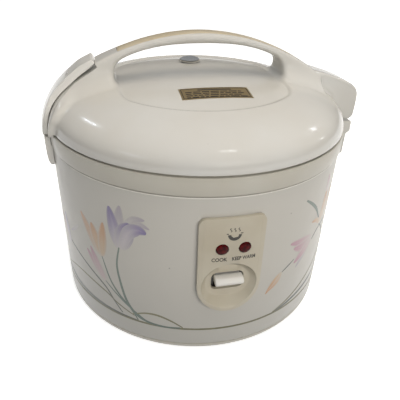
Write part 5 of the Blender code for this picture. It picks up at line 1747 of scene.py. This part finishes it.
@dataclass
class Studio:
    """Floor, room, lights and camera."""

    azimuth: float = 12.8
    distance: float = 386.8 * MM
    height: float = 138.2 * MM
    yaw: float = 0.84
    pitch: float = 30.47
    roll: float = 2.13
    lens: float = 41.45
    room_light: float = 0.5
    floor_size: float = 84.0
    lights: tuple[SoftLight, ...] = (
        SoftLight("key_window", (0.3, -1.4, 0.78), (0.8, 0.6), 13.0, "#FFFBF6", glint=False),
        SoftLight("top_panel", (0.15, 0.1, 1.25), (0.9, 0.7), 4.6, "#FFF0DC", glint=False),
        SoftLight("rear_tube", (-1.04, 1.13, 1.46), (0.05, 0.38), 1.1, "#EAF3FF", (0.03, 0.77, -0.64)),
        SoftLight("left_window", (-1.6, -0.85, 1.22), (0.06, 0.62), 1.1, "#F1F6FF", (0.37, -0.92, -0.09)),
        SoftLight("front_lamp", (0.43, -0.66, 2.05), (0.12, 0.3), 0.9, "#FFFFFF", (1.0, 0.0, 0.0)),
        SoftLight("right_tube", (1.62, 0.57, 1.26), (0.06, 0.2), 0.6, "#F4F8FF", (0.6, -0.4, -0.6)),
        SoftLight("right_lamp", (1.97, 0.16, 0.77), (0.08, 0.08), 0.35, "#FFFFFF"),
    )

    def build(self) -> None:
        """Set the camera, the floor, the lights and the room."""
        self.build_camera()
        self.build_floor()
        for light in self.lights:
            light.build(Vector((0, 0, 0.11)))
        self.build_world()
        bpy.context.scene.view_settings.view_transform = "Standard"

    def build_world(self) -> None:
        """Pale room that darkens towards and below the horizon."""
        world = bpy.data.worlds.new("pale_room")
        world.use_nodes = True
        tree = world.node_tree
        direction = add_node(tree, "ShaderNodeTexCoord", {}).outputs["Generated"]
        height = add_node(tree, "ShaderNodeSeparateXYZ", {}, {"Vector": direction})
        shade = ramp(tree, height.outputs["Z"], [(0.0, "#5C5A56"), (0.35, "#F2F3F4")])
        background = tree.nodes["Background"]
        tree.links.new(shade, background.inputs[0])
        background.inputs[1].default_value = self.room_light
        bpy.context.scene.world = world

    def build_camera(self) -> None:
        """Place the camera in front, a little to the left and above the lid."""
        turn, yaw, pitch = (math.radians(a) for a in (self.azimuth, self.yaw, self.pitch))
        side, ahead = math.sin(yaw) * math.cos(pitch), math.cos(yaw) * math.cos(pitch)
        look = Matrix.Rotation(-turn, 3, "Z") @ Vector((side, ahead, -math.sin(pitch)))
        data = bpy.data.cameras.new("studio_camera")
        data.lens = self.lens
        data.sensor_width = 36.0
        data.clip_start = 0.02
        camera = bpy.data.objects.new("studio_camera", data)
        bpy.context.scene.collection.objects.link(camera)
        camera.location = (-self.distance * math.sin(turn), -self.distance * math.cos(turn), RIM + self.height)
        level = look.to_track_quat("-Z", "Y").to_matrix().to_4x4()
        camera.rotation_euler = (level @ Matrix.Rotation(math.radians(self.roll), 4, "Z")).to_euler()
        bpy.context.scene.camera = camera

    def build_floor(self) -> None:
        """A pale floor at the feet's soles."""
        deselect()
        bpy.ops.mesh.primitive_plane_add(size=self.floor_size, location=(0, 0, FOOT_LOW.z))
        floor = bpy.context.object
        floor.name = "studio_floor"
        dress(floor, BacklitSweep("backlit_white_sweep", "#FBFBFA", 0.62))
        floor.visible_diffuse = False


def main() -> None:
    """Build the cooker from the outside in, then the studio."""
    logging.basicConfig(level=logging.INFO, format="%(name)s %(message)s")
    Studio().build()
    body = Body()
    body.build()
    Flowers(body).build()
    Panel().build()
    lid = Lid()
    lid.build()
    lid.build_inlay()
    ReleaseLever().build()
    LidInside().build()
    LidTrim().build()
    Pot().build()
    dress_carried()


if __name__ == "__main__":
    main()
